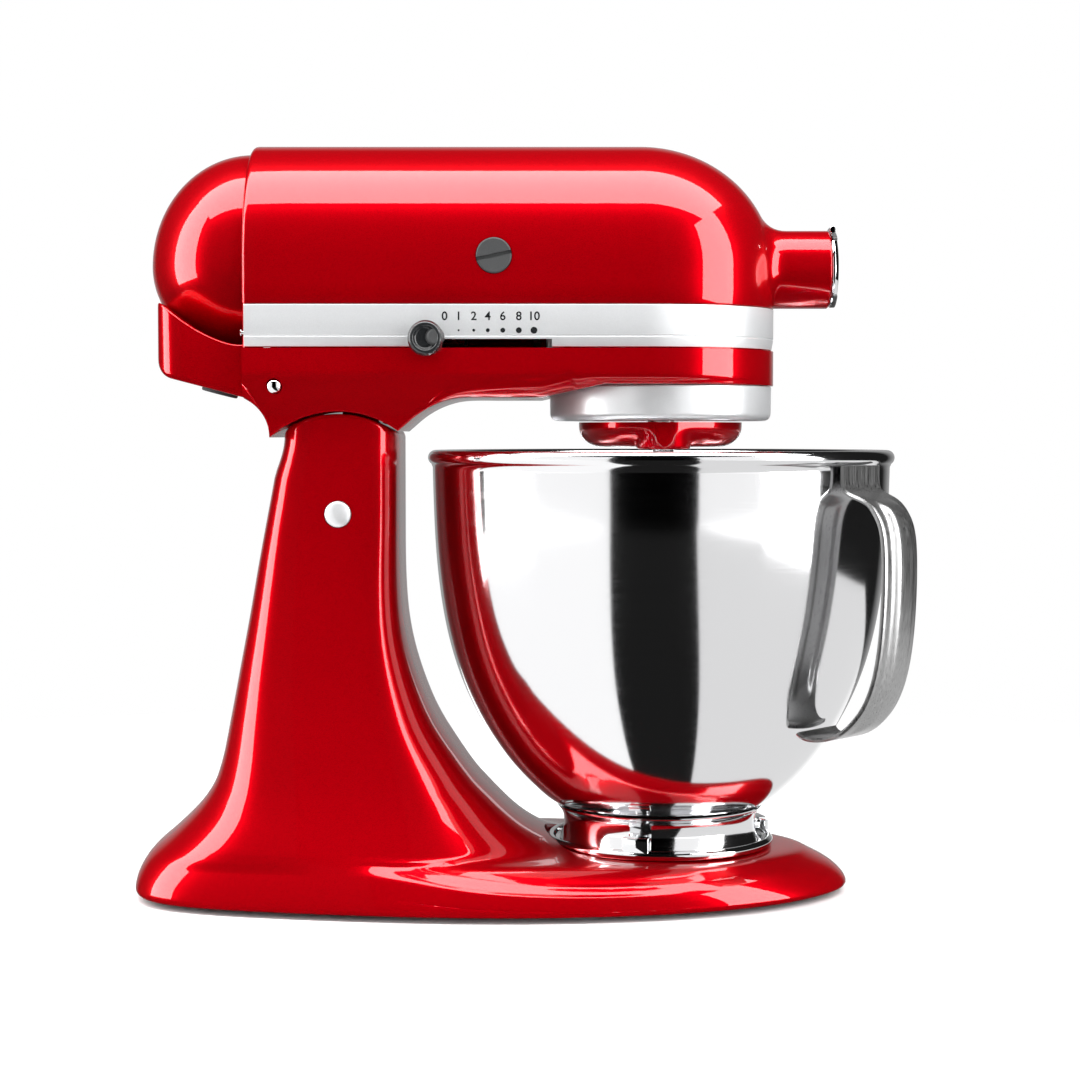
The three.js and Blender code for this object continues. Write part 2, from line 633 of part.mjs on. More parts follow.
/** The carbon brushes with their tubes and slotted caps, one set on each side. */
function brushSets() {
  const sets = [];
  for (const [label, side] of [["left", 1], ["right", -1]]) {
    const [x, z] = [motor.commutatorX, motor.z];
    sets.push(facingSide(mesh(`brush_${label}`, carbonBrush(), carbon()), x, 12.4, z, side));
    sets.push(facingSide(mesh(`brush_holder_${label}`, brushTube(), bronze()), x, 20, z, side));
    sets.push(facingSide(mesh(`brush_cap_${label}`, slottedCap(), blackMatte()), x, 50.6, z, side));
  }
  return sets;
}

/** A round plate across the motor's axis with a hole in the middle. */
const crossPlate = (radius, hole, from, to) =>
  cut(barX(radius, from, to, 0, motor.z, 24), barX(hole, from - 1, to + 1, 0, motor.z, 16));

/** The plate over the spur gears that steadies both upright shafts, on four posts. */
function gearBracket() {
  const outline = [[12, -46], [70, -46], [106, -28], [106, 28], [70, 46], [12, 50]];
  const posts = [[18, -40], [98, -24], [18, 44], [98, 24]].map(([x, y]) => barZ(4, 243.3, 266, x, y, 12));
  const deck = join(upPrism(outline, 264.8, 268), ...posts);
  return cut(deck, barZ(6.4, 260, 270, bowlX, 0), barZ(5.4, 260, 270, wormWheel.x, wormWheel.y));
}

function headGroup() {
  const caseParts = [
    mesh("lower_housing", lowerHousing(), redLacquer()),
    mesh("upper_housing", upperHousing(), redLacquer()),
    mesh("rear_cover", rearCover(), redLacquer()),
    mesh("trim_band", trimBand(), satinSilver()),
  ];
  const atBowl = [
    mesh("drip_ring", dripRing(), satinSilver()),
    mesh("ring_gear", internalRing(), gearSteel()),
    mesh("planetary_bearing", washer(6.3, 13.2, 239.4, 250), gearSteel()),
  ];
  for (const piece of atBowl) piece.position.x = bowlX;
  const insideParts = [
    mesh("motor_field", crossPlate(motor.statorRadius, motor.statorBore, -78, -24), gearSteel()),
    mesh("front_bearing_bracket", crossPlate(40, 4.3, 8, 11), castAluminium()),
    mesh("rear_bearing_bracket", crossPlate(42, 4.3, -112, -108.5), castAluminium()),
    mesh("speed_control_plate", crossPlate(38, 14, -103, -101), blackMatte()),
    mesh("gear_bracket", gearBracket(), castAluminium()),
    mesh("hub_bushing", cut(barX(13.2, 104, 121, 0, hub.z), barX(9.3, 100, 125, 0, hub.z)), bronze()),
  ];
  const inlet = mesh("cord_grommet", cordGrommet(), rubber());
  inlet.position.set(grommet.x, grommet.y, grommet.z);
  inlet.rotation.y = THREE.MathUtils.degToRad(grommet.tilt);
  const underScrew = mesh("underside_screw", smallScrew(3.2, 1.5, 0.1), gearSteel());
  underScrew.position.set(5, 0, 235.8);
  underScrew.rotation.x = Math.PI;
  const trimScrews = [["left", 54], ["right", -54]].map(([label, y]) => {
    const screw = mesh(`trim_screw_${label}`, smallScrew(1.7, 0.8, 5), polishedSteel());
    screw.position.set(head.rear - gap, y, 262);
    screw.rotation.y = -Math.PI / 2;
    return screw;
  });
  return group(...caseParts, ...atBowl, ...insideParts, ...brushSets(), inlet, underScrew, ...trimScrews);
}

/** The lock's cross shaft with its round end, and the paddle on its far side. */
function lockGroup() {
  const shaft = turned([[0, -57], [2, -56.7], [lock.radius, -55.6], [lock.radius, 63.4], [0, 63.4]], 14);
  const arm = upPrism([[-5, -6], [0, -7], [5, -6], [4.2, 22], [0, 24], [-4.2, 22]], 57.4, 62);
  const paddle = cut(join(arm, barZ(7, 57.4, 63, 0, 0)), barZ(lock.radius + gap, 50, 70, 0, 0));
  const pieces = group(mesh("lock_shaft", shaft, polishedSteel()), mesh("lock_lever", paddle, blackGloss()));
  pieces.position.set(lock.x, 0, lock.z);
  pieces.rotation.x = -Math.PI / 2;
  return pieces;
}

/** The speed lever: a round knob outside the slot and a link inside the housing. */
function speedGroup() {
  const knob = turned(
    [[1.8, 1.6], [5.4, 1.6], [7.2, 3], [8, 6], [8, 12.5], [7.3, 14.6], [5.4, 15.8], [0, 16.2], [0, 9], [1.8, 9], [1.8, 1.6]],
    18,
  );
  const stemZ = 257.3;
  const stem = barY(1.4, -64, -48, 0, stemZ, 12);
  const foot = box([-5, -49.4, 255.9], [5, -47, 268]);
  const link = box([-58, -49.4, 262], [1, -47.6, 266]);
  const arm = mesh("speed_arm", join(stem, foot, link), gearSteel());
  const knobPiece = mesh("speed_knob", cut(knob, box([-2, -3.4, 0], [2, 0.1, 9])), blackGloss());
  knobPiece.position.set(0, -57, speed.knobZ);
  knobPiece.rotation.x = Math.PI / 2;
  const pieces = group(arm, knobPiece);
  pieces.position.x = speed.knobX;
  return pieces;
}

// ---------------------------------------------------------------- the gear train

const towardsWheel = Math.atan2(wormWheel.y, wormWheel.x - bowlX);

/** The red casting that carries the beater shaft round the bowl's axis. */
function planetaryCasting() {
  const { radius, low, high, beaterOffset } = planetary;
  const disc = turned([[6.3, low], [radius - 8, low], [radius - 3.2, low + 1.6], [radius - 0.8, low + 4.6],
    [radius, low + 8], [radius, high], [6.3, high], [6.3, low]], 32);
  const boss = barZ(12.5, low - 0.8, high, 0, -beaterOffset, 20);
  return cut(join(disc, boss), barZ(5.3, low - 2, high + 2, 0, -beaterOffset, 20));
}

function planetaryGroup() {
  const casting = mesh("planetary", planetaryCasting(), redLacquer());
  const shaft = mesh("planetary_shaft", barZ(6, planetary.low + 1, 282, 0, 0), gearSteel());
  const spurStart = { ...spurGear, start: towardsWheel };
  const mainGear = mesh("planetary_gear", spur(spurStart, spurGear.low, spurGear.high, 6.3), gearSteel());
  const centreBevel = mesh("center_bevel_gear", bevelGear(0, 6.3), gearSteel());
  centreBevel.position.z = hub.z;
  const pieces = group(casting, shaft, mainGear, centreBevel);
  pieces.position.x = bowlX;
  return pieces;
}

function beaterGroup() {
  const shaftBody = cut(barZ(5, 190, 237.6, 0, 0, 20), barX(1.8, -6, 6, 0, 197, 12));
  const gear = spur({ ...pinion, start: -Math.PI / 2 }, 227, 235, 5.3);
  const pieces = group(
    mesh("beater_shaft", shaftBody, polishedSteel()),
    mesh("beater_pin", barX(1.5, -9, 9, 0, 197, 12), polishedSteel()),
    mesh("beater_pinion", gear, gearSteel()),
  );
  pieces.position.set(bowlX, -planetary.beaterOffset, 0);
  return pieces;
}

/** The worm wheel: slanted teeth that follow the worm's thread. */
function wormWheelGear() {
  const toothSize = (2 * wormWheel.pitch) / wormWheel.teeth;
  const outline = toothOutline({
    teeth: wormWheel.teeth,
    root: wormWheel.pitch - 1.15 * toothSize,
    tip: wormWheel.pitch + 0.8 * toothSize,
    start: -Math.PI / 2 + Math.PI / wormWheel.teeth,
  });
  const slant = worm.lead / (2 * Math.PI * worm.pitch) / wormWheel.pitch;
  const rings = [-0.5, 0, 0.5].map((share) => {
    const z = share * wormWheel.width;
    return ringAt(outline, z, 1, slant * z);
  });
  return cut(loft(rings), barZ(5.3, -10, 10, 0, 0));
}

function wormWheelGroup() {
  const wheel = mesh("worm_gear", wormWheelGear(), bronze());
  wheel.position.z = motor.z;
  const start = towardsWheel + Math.PI + Math.PI / spurPinion.teeth;
  const pieces = group(
    wheel,
    mesh("worm_gear_shaft", barZ(5, 243.4, 304, 0, 0, 20), gearSteel()),
    mesh("worm_gear_pinion", spur({ ...spurPinion, start }, spurGear.low, spurGear.high, 5.3), gearSteel()),
  );
  pieces.position.set(wormWheel.x, wormWheel.y, 0);
  return pieces;
}

/** The cooling fan: a hub disc with flat blades. */
function fanWheel() {
  const blade = box([7, -0.8, -91], [24, 0.8, -83]);
  const blades = [...Array(6).keys()].map((i) => blade.rotate([0, 0, 60 * i]));
  return cut(join(barZ(24, -84.5, -83, 0, 0, 24), barZ(8, -91, -83, 0, 0), ...blades), barZ(4.3, -95, -80, 0, 0));
}

/** The armature, drawn upright and laid along the motor's axis. */
function armatureGroup() {
  const core = toothOutline({ teeth: 12, root: 19, tip: motor.coreRadius, rootShare: 0.5, tipShare: 0.8 });
  const thread = wormThread().translate([0, 0, wormWheel.x]);
  const spindle = join(barZ(4, -114, 60, 0, 0), thread);
  const pieces = group(
    mesh("armature_shaft", spindle, gearSteel()),
    mesh("armature_core", cut(upPrism(core, -76, -26), barZ(4.3, -80, -20, 0, 0)), copper()),
    mesh("commutator", washer(4.3, 12, -18, -2, 24), copper()),
    mesh("cooling_fan", fanWheel(), blackMatte()),
  );
  pieces.position.z = motor.z;
  pieces.quaternion.setFromAxisAngle(new THREE.Vector3(1, 1, 1).normalize(), (2 * Math.PI) / 3);
  return pieces;
}

/** The power outlet's shaft with its square socket, and the bevel gear that drives it. */
function hubGroup() {
  const spindle = join(barX(6, 80, 92, 0, 0), barX(9, 91.4, 123, 0, 0));
  const gear = mesh("hub_bevel_gear", bevelGear(Math.PI / bevel.teeth, 6.3), gearSteel());
  gear.position.x = bowlX;
  gear.rotation.y = -Math.PI / 2;
  const socket = box([107, -4.8, -4.8], [130, 4.8, 4.8]);
  const pieces = group(mesh("hub_shaft", cut(spindle, socket), gearSteel()), gear);
  pieces.position.z = hub.z;
  return pieces;
}

/** The hinged cover over the power outlet, hung from its own pin at the top. */
function hubCap() {
  const face = turned([[0, 0], [17.4, 0], [17.6, 1], [16.6, 2.6], [12, 3.4], [0, 3.4]], 28);
  const barrel = barX(1.7, -5, 5, -18.6, 1.7, 12).rotate([0, 0, 90]);
  const pieces = mesh("hub_cap", join(face, barrel, box([-18.8, -4, 0.2], [-15, 4, 2.4])), polishedSteel());
  pieces.rotation.y = Math.PI / 2;
  pieces.position.set(hub.end + gap, 0, hub.z);
  return pieces;
}

const hubKnob = () =>
  facingSide(
    mesh(
      "hub_knob",
      turned([[0, 13.9], [3, 13.9], [3, 18.9], [7, 18.9], [8.5, 20.4], [8.5, 28], [7, 30], [0, 30.6]], 20),
      blackGloss(),
    ),
    131, 0, hub.z, 1,
  );

// ---------------------------------------------------------------- the bowl

/** Outline of the bowl's wall from its foot to just under its rolled rim. */
const bowlWall = new THREE.SplineCurve(
  [
    [47.5, 41.4], [53.7, 44.5], [66.5, 56], [79.8, 73], [92.2, 96], [99.8, 119],
    [104, 141], [106.4, 164], [107.4, 187], [107.8, 201],
  ].map(([r, z]) => new THREE.Vector2(r, z)),
);

/** A thin open bowl: the wall's outside, the rolled rim, and the wall's inside. */
function bowlShell() {
  const steps = 7;
  const outer = [];
  const inner = [];
  for (let i = 0; i <= steps; i++) {
    const point = bowlWall.getPoint(i / steps);
    const along = bowlWall.getTangent(i / steps);
    outer.push([point.x, point.y]);
    inner.unshift([point.x - along.y * bowl.sheet, point.y + along.x * bowl.sheet]);
  }
  const bead = [];
  for (let i = 0; i <= 4; i++) {
    const angle = THREE.MathUtils.degToRad(-40 + 60 * i);
    bead.push([bowl.rimRadius - 3.5 + 3.5 * Math.cos(angle), bowl.rimZ - 3.5 + 3.5 * Math.sin(angle)]);
  }
  return turned([[0, bowl.floorZ - bowl.sheet], [44, bowl.floorZ - bowl.sheet], ...outer, ...bead, ...inner,
    [44, bowl.floorZ], [0, bowl.floorZ]], 36);
}

/** The bowl's foot ring with the three lugs that lock under the plate's hooks. */
function bowlFoot() {
  const r = bowl.footRadius;
  const low = bowl.footLow;
  const ring = turned([[r + 0.5, low], [r, low + 3], [r - 1.2, 33], [r, 40.2], [r - 1.3, 40.2], [r - 2.5, 33],
    [r - 1.3, low + 3], [r - 0.8, low], [r + 0.5, low]], 32);
  const lugs = hookAngles.map((angle) => box([r - 1, -3.4, 26.6], [50.2, 3.4, 29.6]).rotate([0, 0, angle]));
  return join(ring, ...lugs);
}

/** The strap handle, bent from one strip: distance from the bowl's axis against height. */
function bowlHandle() {
  const centre = new THREE.SplineCurve(
    [
      [109.8, 201.3], [110, 193.5], [115, 189.4], [123, 185.5], [128.8, 177], [130.6, 162],
      [130, 134], [126.5, 110], [119, 92.5], [107.5, 83], [96, 81.4], [87.2, 82.4],
    ].map(([r, z]) => new THREE.Vector2(r, z)),
  );
  const steps = 26;
  const outer = [];
  const inner = [];
  for (let i = 0; i <= steps; i++) {
    const point = centre.getPoint(i / steps);
    const along = centre.getTangent(i / steps).multiplyScalar(handle.strap / 2);
    outer.push([point.x - along.y, point.y + along.x]);
    inner.unshift([point.x + along.y, point.y - along.x]);
  }
  return sidePrism([...outer, ...inner], -handle.width / 2, handle.width / 2);
}

function bowlGroup() {
  const strap = mesh("bowl_handle", bowlHandle(), polishedSteel());
  strap.rotation.z = handle.turn;
  const pieces = group(
    mesh("bowl_shell", bowlShell(), polishedSteel()),
    mesh("bowl_foot", bowlFoot(), polishedSteel()),
    strap,
  );
  pieces.position.x = bowlX;
  return pieces;
}

// ---------------------------------------------------------------- the whole machine

export default group(
  standGroup(),
  headGroup(),
  lockGroup(),
  speedGroup(),
  planetaryGroup(),
  beaterGroup(),
  wormWheelGroup(),
  armatureGroup(),
  hubGroup(),
  hubCap(),
  hubKnob(),
  bowlGroup(),
);
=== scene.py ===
"""The stand mixer's looks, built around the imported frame.

Shapes are worked out in millimetres in the row frame and each mesh is made in metres. Every piece
rides on the body that carries the node it stands for, so it moves wherever that body goes.
"""

import json
import math

import bmesh
import bpy
import numpy as np
from mathutils import Matrix, Vector


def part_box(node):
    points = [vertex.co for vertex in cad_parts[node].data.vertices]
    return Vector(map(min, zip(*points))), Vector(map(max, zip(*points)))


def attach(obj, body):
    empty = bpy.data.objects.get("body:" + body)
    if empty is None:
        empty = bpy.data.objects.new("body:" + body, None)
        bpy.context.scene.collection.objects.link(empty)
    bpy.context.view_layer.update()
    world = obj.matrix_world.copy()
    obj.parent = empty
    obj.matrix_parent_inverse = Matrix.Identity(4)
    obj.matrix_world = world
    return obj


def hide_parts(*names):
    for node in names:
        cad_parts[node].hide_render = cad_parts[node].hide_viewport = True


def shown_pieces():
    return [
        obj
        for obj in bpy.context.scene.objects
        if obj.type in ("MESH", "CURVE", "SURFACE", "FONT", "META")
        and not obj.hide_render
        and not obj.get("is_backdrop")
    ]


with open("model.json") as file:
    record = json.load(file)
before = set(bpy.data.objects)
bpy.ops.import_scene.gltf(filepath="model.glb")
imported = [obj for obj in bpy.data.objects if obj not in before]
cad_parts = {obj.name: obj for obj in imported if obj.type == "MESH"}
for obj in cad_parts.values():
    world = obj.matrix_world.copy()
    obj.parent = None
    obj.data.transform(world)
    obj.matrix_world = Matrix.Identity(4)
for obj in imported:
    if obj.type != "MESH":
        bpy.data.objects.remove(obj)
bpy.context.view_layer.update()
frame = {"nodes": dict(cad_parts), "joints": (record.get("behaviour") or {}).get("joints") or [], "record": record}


# ---------------------------------------------------------------- driving dimensions, millimetres
MM = 0.001
joints = {joint["name"]: joint for joint in frame["joints"]}


def joint_at(name):
    """Where a joint turns, in millimetres."""
    return Vector(joints[name]["pos_m"]) / MM


def box_of(node):
    """Lowest and highest corner of a node, in millimetres."""
    low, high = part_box(node)
    return low / MM, high / MM


def middle_of(node):
    """The x and z of a node's middle, in millimetres."""
    low, high = box_of(node)
    return (low.x + high.x) / 2, (low.z + high.z) / 2


HINGE = joint_at("head_tilt")
LOCK = joint_at("lock_turn")
BOWL_X = joint_at("bowl_turn").x
HUB_Z = joint_at("hub_spin").z
HUB_KNOB_X = joint_at("hub_knob_turn").x
PEDESTAL_X = -80.0
CROWN_RADIUS = 45.7
HINGE_BORE = 6.3
WALL = 4.5

HEAD_REAR = box_of("upper_housing")[0].x
HEAD_HALF = box_of("upper_housing")[1].y
SHOULDER_Z = 294.4  # where the head's sides turn into its round top
NOSE_X = 58.0
NOSE_LENGTH = 63.2
REAR_CORNER = 2.5
UNDERSIDE_Z = 233
SCOOP_REAR = -163.5
SEAM_Z = box_of("lower_housing")[1].z
BAND_LOW, BAND_HIGH = (corner.z for corner in box_of("trim_band"))
BAND_DEPTH = 1.6
BRUSH_X, BRUSH_Z = middle_of("brush_cap_right")
DRIP_LOW, DRIP_HIGH = (corner.z for corner in box_of("drip_ring"))
DRIP_RADIUS = box_of("drip_ring")[1].y
HUB_RADIUS = 18.3
HUB_BORE = 13.5
HUB_END = 147.0
KNOB_X, KNOB_Z = middle_of("speed_knob")
LEVER_SLOT = (-46.0, 16.4, 259.2)  # rear end, front end and top of the speed lever's slot
BEATER_OFFSET = 28.0
HANDLE_TURN = math.radians(-39)
HOOK_ANGLES = (-105, 15, 135)
FOOT_SPOTS = ((-150, 36), (-150, -36), (30, 62), (30, -62), (128, 0))
SCREW_ANGLES = (75, 195, 315)
SCREW_RADIUS = 34.0
LOCK_RADIUS = 3.2
SIDE_FACE = -57.0  # the head's side with the speed lever
CORD_TILT = math.radians(14.6)  # how far the cord's grommet leans back


# ---------------------------------------------------------------- the camera, in metres, and the brightness
CAMERA_AT = (0.011, -1.080, 0.216)
CAMERA_LENS = 75.8
CAMERA_DIP = 2.64  # degrees below level
BOX_GLOW = 7.5
FRONT_GLOW = 0.012
REAR_GLOW = 0.35


# ---------------------------------------------------------------- materials


def material(name, color, metallic, roughness, **sockets):
    """A principled material; the extra sockets are named with underscores for spaces."""
    made = bpy.data.materials.new(name)
    made.use_nodes = True
    shader = principled(made)
    shader.inputs["Base Color"].default_value = (*color, 1)
    shader.inputs["Metallic"].default_value = metallic
    shader.inputs["Roughness"].default_value = roughness
    for socket, value in sockets.items():
        shader.inputs[socket.replace("_", " ")].default_value = value
    return made


def principled(made):
    return next(node for node in made.node_tree.nodes if node.type == "BSDF_PRINCIPLED")


def texture(made, kind, scale, stretch=(1, 1, 1), **values):
    """A procedural texture in the object's own coordinates, scaled in cells for each metre."""
    tree = made.node_tree
    place = tree.nodes.new("ShaderNodeTexCoord")
    mapping = tree.nodes.new("ShaderNodeMapping")
    mapping.inputs["Scale"].default_value = stretch
    node = tree.nodes.new("ShaderNodeTex" + kind)
    node.inputs["Scale"].default_value = scale
    for socket, value in values.items():
        node.inputs[socket].default_value = value
    tree.links.new(place.outputs["Object"], mapping.inputs["Vector"])
    tree.links.new(mapping.outputs["Vector"], node.inputs["Vector"])
    return node.outputs["Distance"] if kind == "Voronoi" else node.outputs["Fac"]


def vary_color(made, source, *stops):
    """Colours the surface by a texture: each stop is its place from 0 to 1 and its colour."""
    tree = made.node_tree
    ramp = tree.nodes.new("ShaderNodeValToRGB")
    while len(ramp.color_ramp.elements) < len(stops):
        ramp.color_ramp.elements.new(0.5)
    for element, (place, color) in zip(ramp.color_ramp.elements, stops):
        element.position = place
        element.color = (*color, 1)
    tree.links.new(source, ramp.inputs["Fac"])
    tree.links.new(ramp.outputs["Color"], principled(made).inputs["Base Color"])


def map_range(tree, source, start, end, low, high):
    """The output of a node that takes start..end to low..high."""
    spread = tree.nodes.new("ShaderNodeMapRange")
    for socket, value in zip(("From Min", "From Max", "To Min", "To Max"), (start, end, low, high)):
        spread.inputs[socket].default_value = value
    tree.links.new(source, spread.inputs["Value"])
    return spread.outputs["Result"]


def vary_roughness(made, source, low, high):
    """Varies the roughness from low to high by a texture."""
    tree = made.node_tree
    tree.links.new(map_range(tree, source, 0.3, 0.7, low, high), principled(made).inputs["Roughness"])


def add_bump(made, source, distance, strength):
    """Roughens the surface by a texture, to a depth in metres."""
    tree = made.node_tree
    bump = tree.nodes.new("ShaderNodeBump")
    bump.inputs["Strength"].default_value = strength
    bump.inputs["Distance"].default_value = distance
    tree.links.new(source, bump.inputs["Height"])
    tree.links.new(bump.outputs["Normal"], principled(made).inputs["Normal"])


def red_lacquer():
    """Candy red: a metallic red with fine flakes under a thick glossy clear coat."""
    made = material("red_lacquer", (0.62, 0.0, 0.004), 0.62, 0.29, Coat_Weight=1.0, Coat_Roughness=0.025,
                    Coat_IOR=1.5, Specular_IOR_Level=0.0)
    flakes = texture(made, "Voronoi", 2600)
    vary_color(made, flakes, (0.0, (0.66, 0.0, 0.006)), (0.55, (0.5, 0.0, 0.004)), (1.0, (0.4, 0.0, 0.003)))
    add_bump(made, texture(made, "Noise", 900, Detail=3.0), 0.000006, 0.5)
    return made


def polished_steel():
    """Mirror-polished sheet with faint polishing rings round the bowl's axis."""
    made = material("polished_steel", (0.86, 0.86, 0.87), 1.0, 0.06)
    rings = texture(made, "Noise", 1400, stretch=(0.02, 0.02, 1.0), Detail=4.0)
    vary_roughness(made, rings, 0.07, 0.11)
    add_bump(made, rings, 0.0000015, 0.4)
    return made


def brushed_strap():
    """The handle's steel: bright, with long polishing lines and soft dents in the sheen."""
    made = material("brushed_strap", (0.42, 0.42, 0.42), 1.0, 0.32)
    lines = texture(made, "Noise", 1800, stretch=(1.0, 1.0, 0.03), Detail=5.0)
    vary_roughness(made, lines, 0.26, 0.38)
    vary_color(made, lines, (0.3, (0.34, 0.34, 0.34)), (0.7, (0.46, 0.46, 0.46)))
    add_bump(made, texture(made, "Noise", 120, Detail=1.0), 0.00005, 0.5)
    return made


def chrome_trim():
    made = material("chrome_trim", (0.84, 0.85, 0.86), 1.0, 0.05)
    vary_roughness(made, texture(made, "Noise", 500, Detail=3.0), 0.03, 0.08)
    return made


def satin_silver():
    """Painted satin silver with a very fine metallic grain."""
    made = material("satin_silver", (0.7, 0.71, 0.72), 0.6, 0.36)
    grain = texture(made, "Noise", 5200, Detail=4.0)
    vary_color(made, grain, (0.3, (0.64, 0.65, 0.66)), (0.7, (0.74, 0.75, 0.76)))
    vary_roughness(made, texture(made, "Noise", 260, Detail=3.0), 0.3, 0.38)
    add_bump(made, grain, 0.000004, 0.4)
    return made


def cast_aluminium():
    """Rough as-cast metal with darker pits."""
    made = material("cast_aluminium", (0.55, 0.56, 0.58), 0.95, 0.5)
    pits = texture(made, "Noise", 900, Detail=8.0, Roughness=0.65)
    vary_color(made, pits, (0.3, (0.34, 0.35, 0.37)), (0.65, (0.62, 0.63, 0.65)))
    vary_roughness(made, pits, 0.42, 0.62)
    add_bump(made, pits, 0.00012, 0.6)
    return made


def gear_steel():
    """Machined steel with tool lines and a brownish film of grease."""
    made = material("gear_steel", (0.45, 0.45, 0.47), 1.0, 0.3)
    lines = texture(made, "Noise", 1500, stretch=(0.15, 0.15, 1.0), Detail=6.0)
    film = texture(made, "Noise", 90, Detail=4.0)
    vary_color(made, film, (0.35, (0.33, 0.29, 0.24)), (0.6, (0.52, 0.52, 0.54)))
    vary_roughness(made, lines, 0.2, 0.42)
    add_bump(made, lines, 0.00002, 0.5)
    return made


def bronze():
    made = material("bronze", (0.55, 0.34, 0.14), 1.0, 0.36)
    wear = texture(made, "Noise", 260, Detail=6.0)
    vary_color(made, wear, (0.3, (0.38, 0.2, 0.08)), (0.7, (0.66, 0.44, 0.2)))
    vary_roughness(made, wear, 0.28, 0.48)
    add_bump(made, texture(made, "Noise", 2200, Detail=3.0), 0.00003, 0.5)
    return made


def copper():
    made = material("copper", (0.6, 0.27, 0.14), 1.0, 0.34)
    windings = texture(made, "Noise", 1300, stretch=(0.1, 1.0, 1.0), Detail=2.0)
    vary_color(made, windings, (0.35, (0.34, 0.12, 0.06)), (0.65, (0.72, 0.36, 0.2)))
    add_bump(made, windings, 0.0002, 0.7)
    return made


def black_gloss():
    made = material("black_gloss", (0.012, 0.013, 0.014), 0.0, 0.16, Coat_Weight=0.4, Coat_Roughness=0.05)
    haze = texture(made, "Noise", 320, Detail=4.0)
    vary_roughness(made, haze, 0.12, 0.24)
    add_bump(made, texture(made, "Noise", 3000, Detail=2.0), 0.000006, 0.4)
    return made


def black_matte():
    """Dark grey moulded plastic with a fine spark-eroded grain."""
    made = material("black_matte", (0.035, 0.036, 0.037), 0.0, 0.45)
    grain = texture(made, "Noise", 4200, Detail=3.0)
    vary_color(made, grain, (0.35, (0.026, 0.027, 0.028)), (0.65, (0.046, 0.047, 0.048)))
    vary_roughness(made, grain, 0.42, 0.6)
    add_bump(made, grain, 0.00003, 0.6)
    return made


def rubber():
    made = material("rubber", (0.025, 0.025, 0.026), 0.0, 0.75)
    grain = texture(made, "Noise", 2400, Detail=5.0)
    vary_color(made, grain, (0.3, (0.018, 0.018, 0.019)), (0.7, (0.04, 0.04, 0.042)))
    vary_roughness(made, grain, 0.65, 0.88)
    add_bump(made, grain, 0.00006, 0.6)
    return made


def carbon():
    made = material("carbon", (0.03, 0.03, 0.032), 0.2, 0.55)
    grain = texture(made, "Voronoi", 2600)
    vary_color(made, grain, (0.0, (0.07, 0.07, 0.075)), (0.6, (0.025, 0.025, 0.027)))
    add_bump(made, grain, 0.00003, 0.6)
    return made


MAKERS = (
    red_lacquer, polished_steel, brushed_strap, chrome_trim, satin_silver, cast_aluminium, gear_steel,
    bronze, copper, black_gloss, black_matte, rubber, carbon,
)
MATERIALS = {maker.__name__: maker() for maker in MAKERS}


# ---------------------------------------------------------------- mesh helpers
SHARP_ANGLE = math.radians(34)
BEVEL_ANGLE = math.radians(40)


def rounded(points, closed=False, steps=5):
    """An outline of (a, b) or (a, b, radius) points, with an arc wherever a radius is given."""
    outline = []
    for i, (a, b, *radius) in enumerate(points):
        here = Vector((a, b))
        if not radius or (not closed and i in (0, len(points) - 1)):
            outline.append((a, b))
            continue
        back = (Vector(points[i - 1][:2]) - here).normalized()
        ahead = (Vector(points[(i + 1) % len(points)][:2]) - here).normalized()
        half = back.angle(ahead) / 2
        centre = here + (back + ahead).normalized() * (radius[0] / math.sin(half))
        start = here + back * (radius[0] / math.tan(half)) - centre
        end = here + ahead * (radius[0] / math.tan(half)) - centre
        sweep = start.angle(end)
        for step in range(steps + 1):
            share = step / steps
            spoke = start * math.sin((1 - share) * sweep) + end * math.sin(share * sweep)
            outline.append(tuple(centre + spoke / math.sin(sweep)))
    return outline


def smooth_rows(rows, steps):
    """Rows of numbers turned into one smooth curve, a cubic B-spline close to every row."""
    rows = np.array(rows, float)

    def padded(values):
        return np.vstack([2 * values[0] - values[1], values, 2 * values[-1] - values[-2]])

    wide = padded(rows)
    control = padded(2 * rows - (wide[:-2] + 4 * wide[1:-1] + wide[2:]) / 6)
    made = []
    for i in range(len(rows) - 1):
        for step in range(steps + (i == len(rows) - 2)):
            t = step / steps
            weights = ((1 - t) ** 3, 3 * t**3 - 6 * t**2 + 4, 1 + 3 * t + 3 * t**2 - 3 * t**3, t**3)
            made.append(sum(weight * control[i + j] for j, weight in enumerate(weights)) / 6)
    return np.array(made)


def evenly(points, count):
    """Points at equal distances along an open line."""
    points = np.array(points, float)
    travelled = np.concatenate([[0], np.cumsum(np.linalg.norm(np.diff(points, axis=0), axis=1))])
    wanted = np.linspace(0, travelled[-1], count)
    return np.stack([np.interp(wanted, travelled, column) for column in points.T], axis=1)


def normals(line):
    """Unit vectors square to a line, one for each of its points."""
    steps = np.gradient(line, axis=0)
    along = steps / np.linalg.norm(steps, axis=1)[:, None]
    return np.stack([-along[:, 1], along[:, 0]], axis=1)


def ease(share):
    """A share from 0 to 1 that starts and ends gently."""
    return share * share * (3 - 2 * share)


def whole_turn(count):
    """Equally spaced angles all the way round."""
    return [2 * math.pi * i / count for i in range(count)]


def skin(name, points, faces, made):
    """A welded mesh object with outward faces, smooth except over real edges."""
    mesh = bpy.data.meshes.new(name)
    mesh.from_pydata([tuple(float(value) * MM for value in point) for point in points], [], faces)
    piece = bpy.data.objects.new(name, mesh)
    bpy.context.scene.collection.objects.link(piece)
    if made:
        mesh.materials.append(MATERIALS[made])
    weld(piece)
    return piece


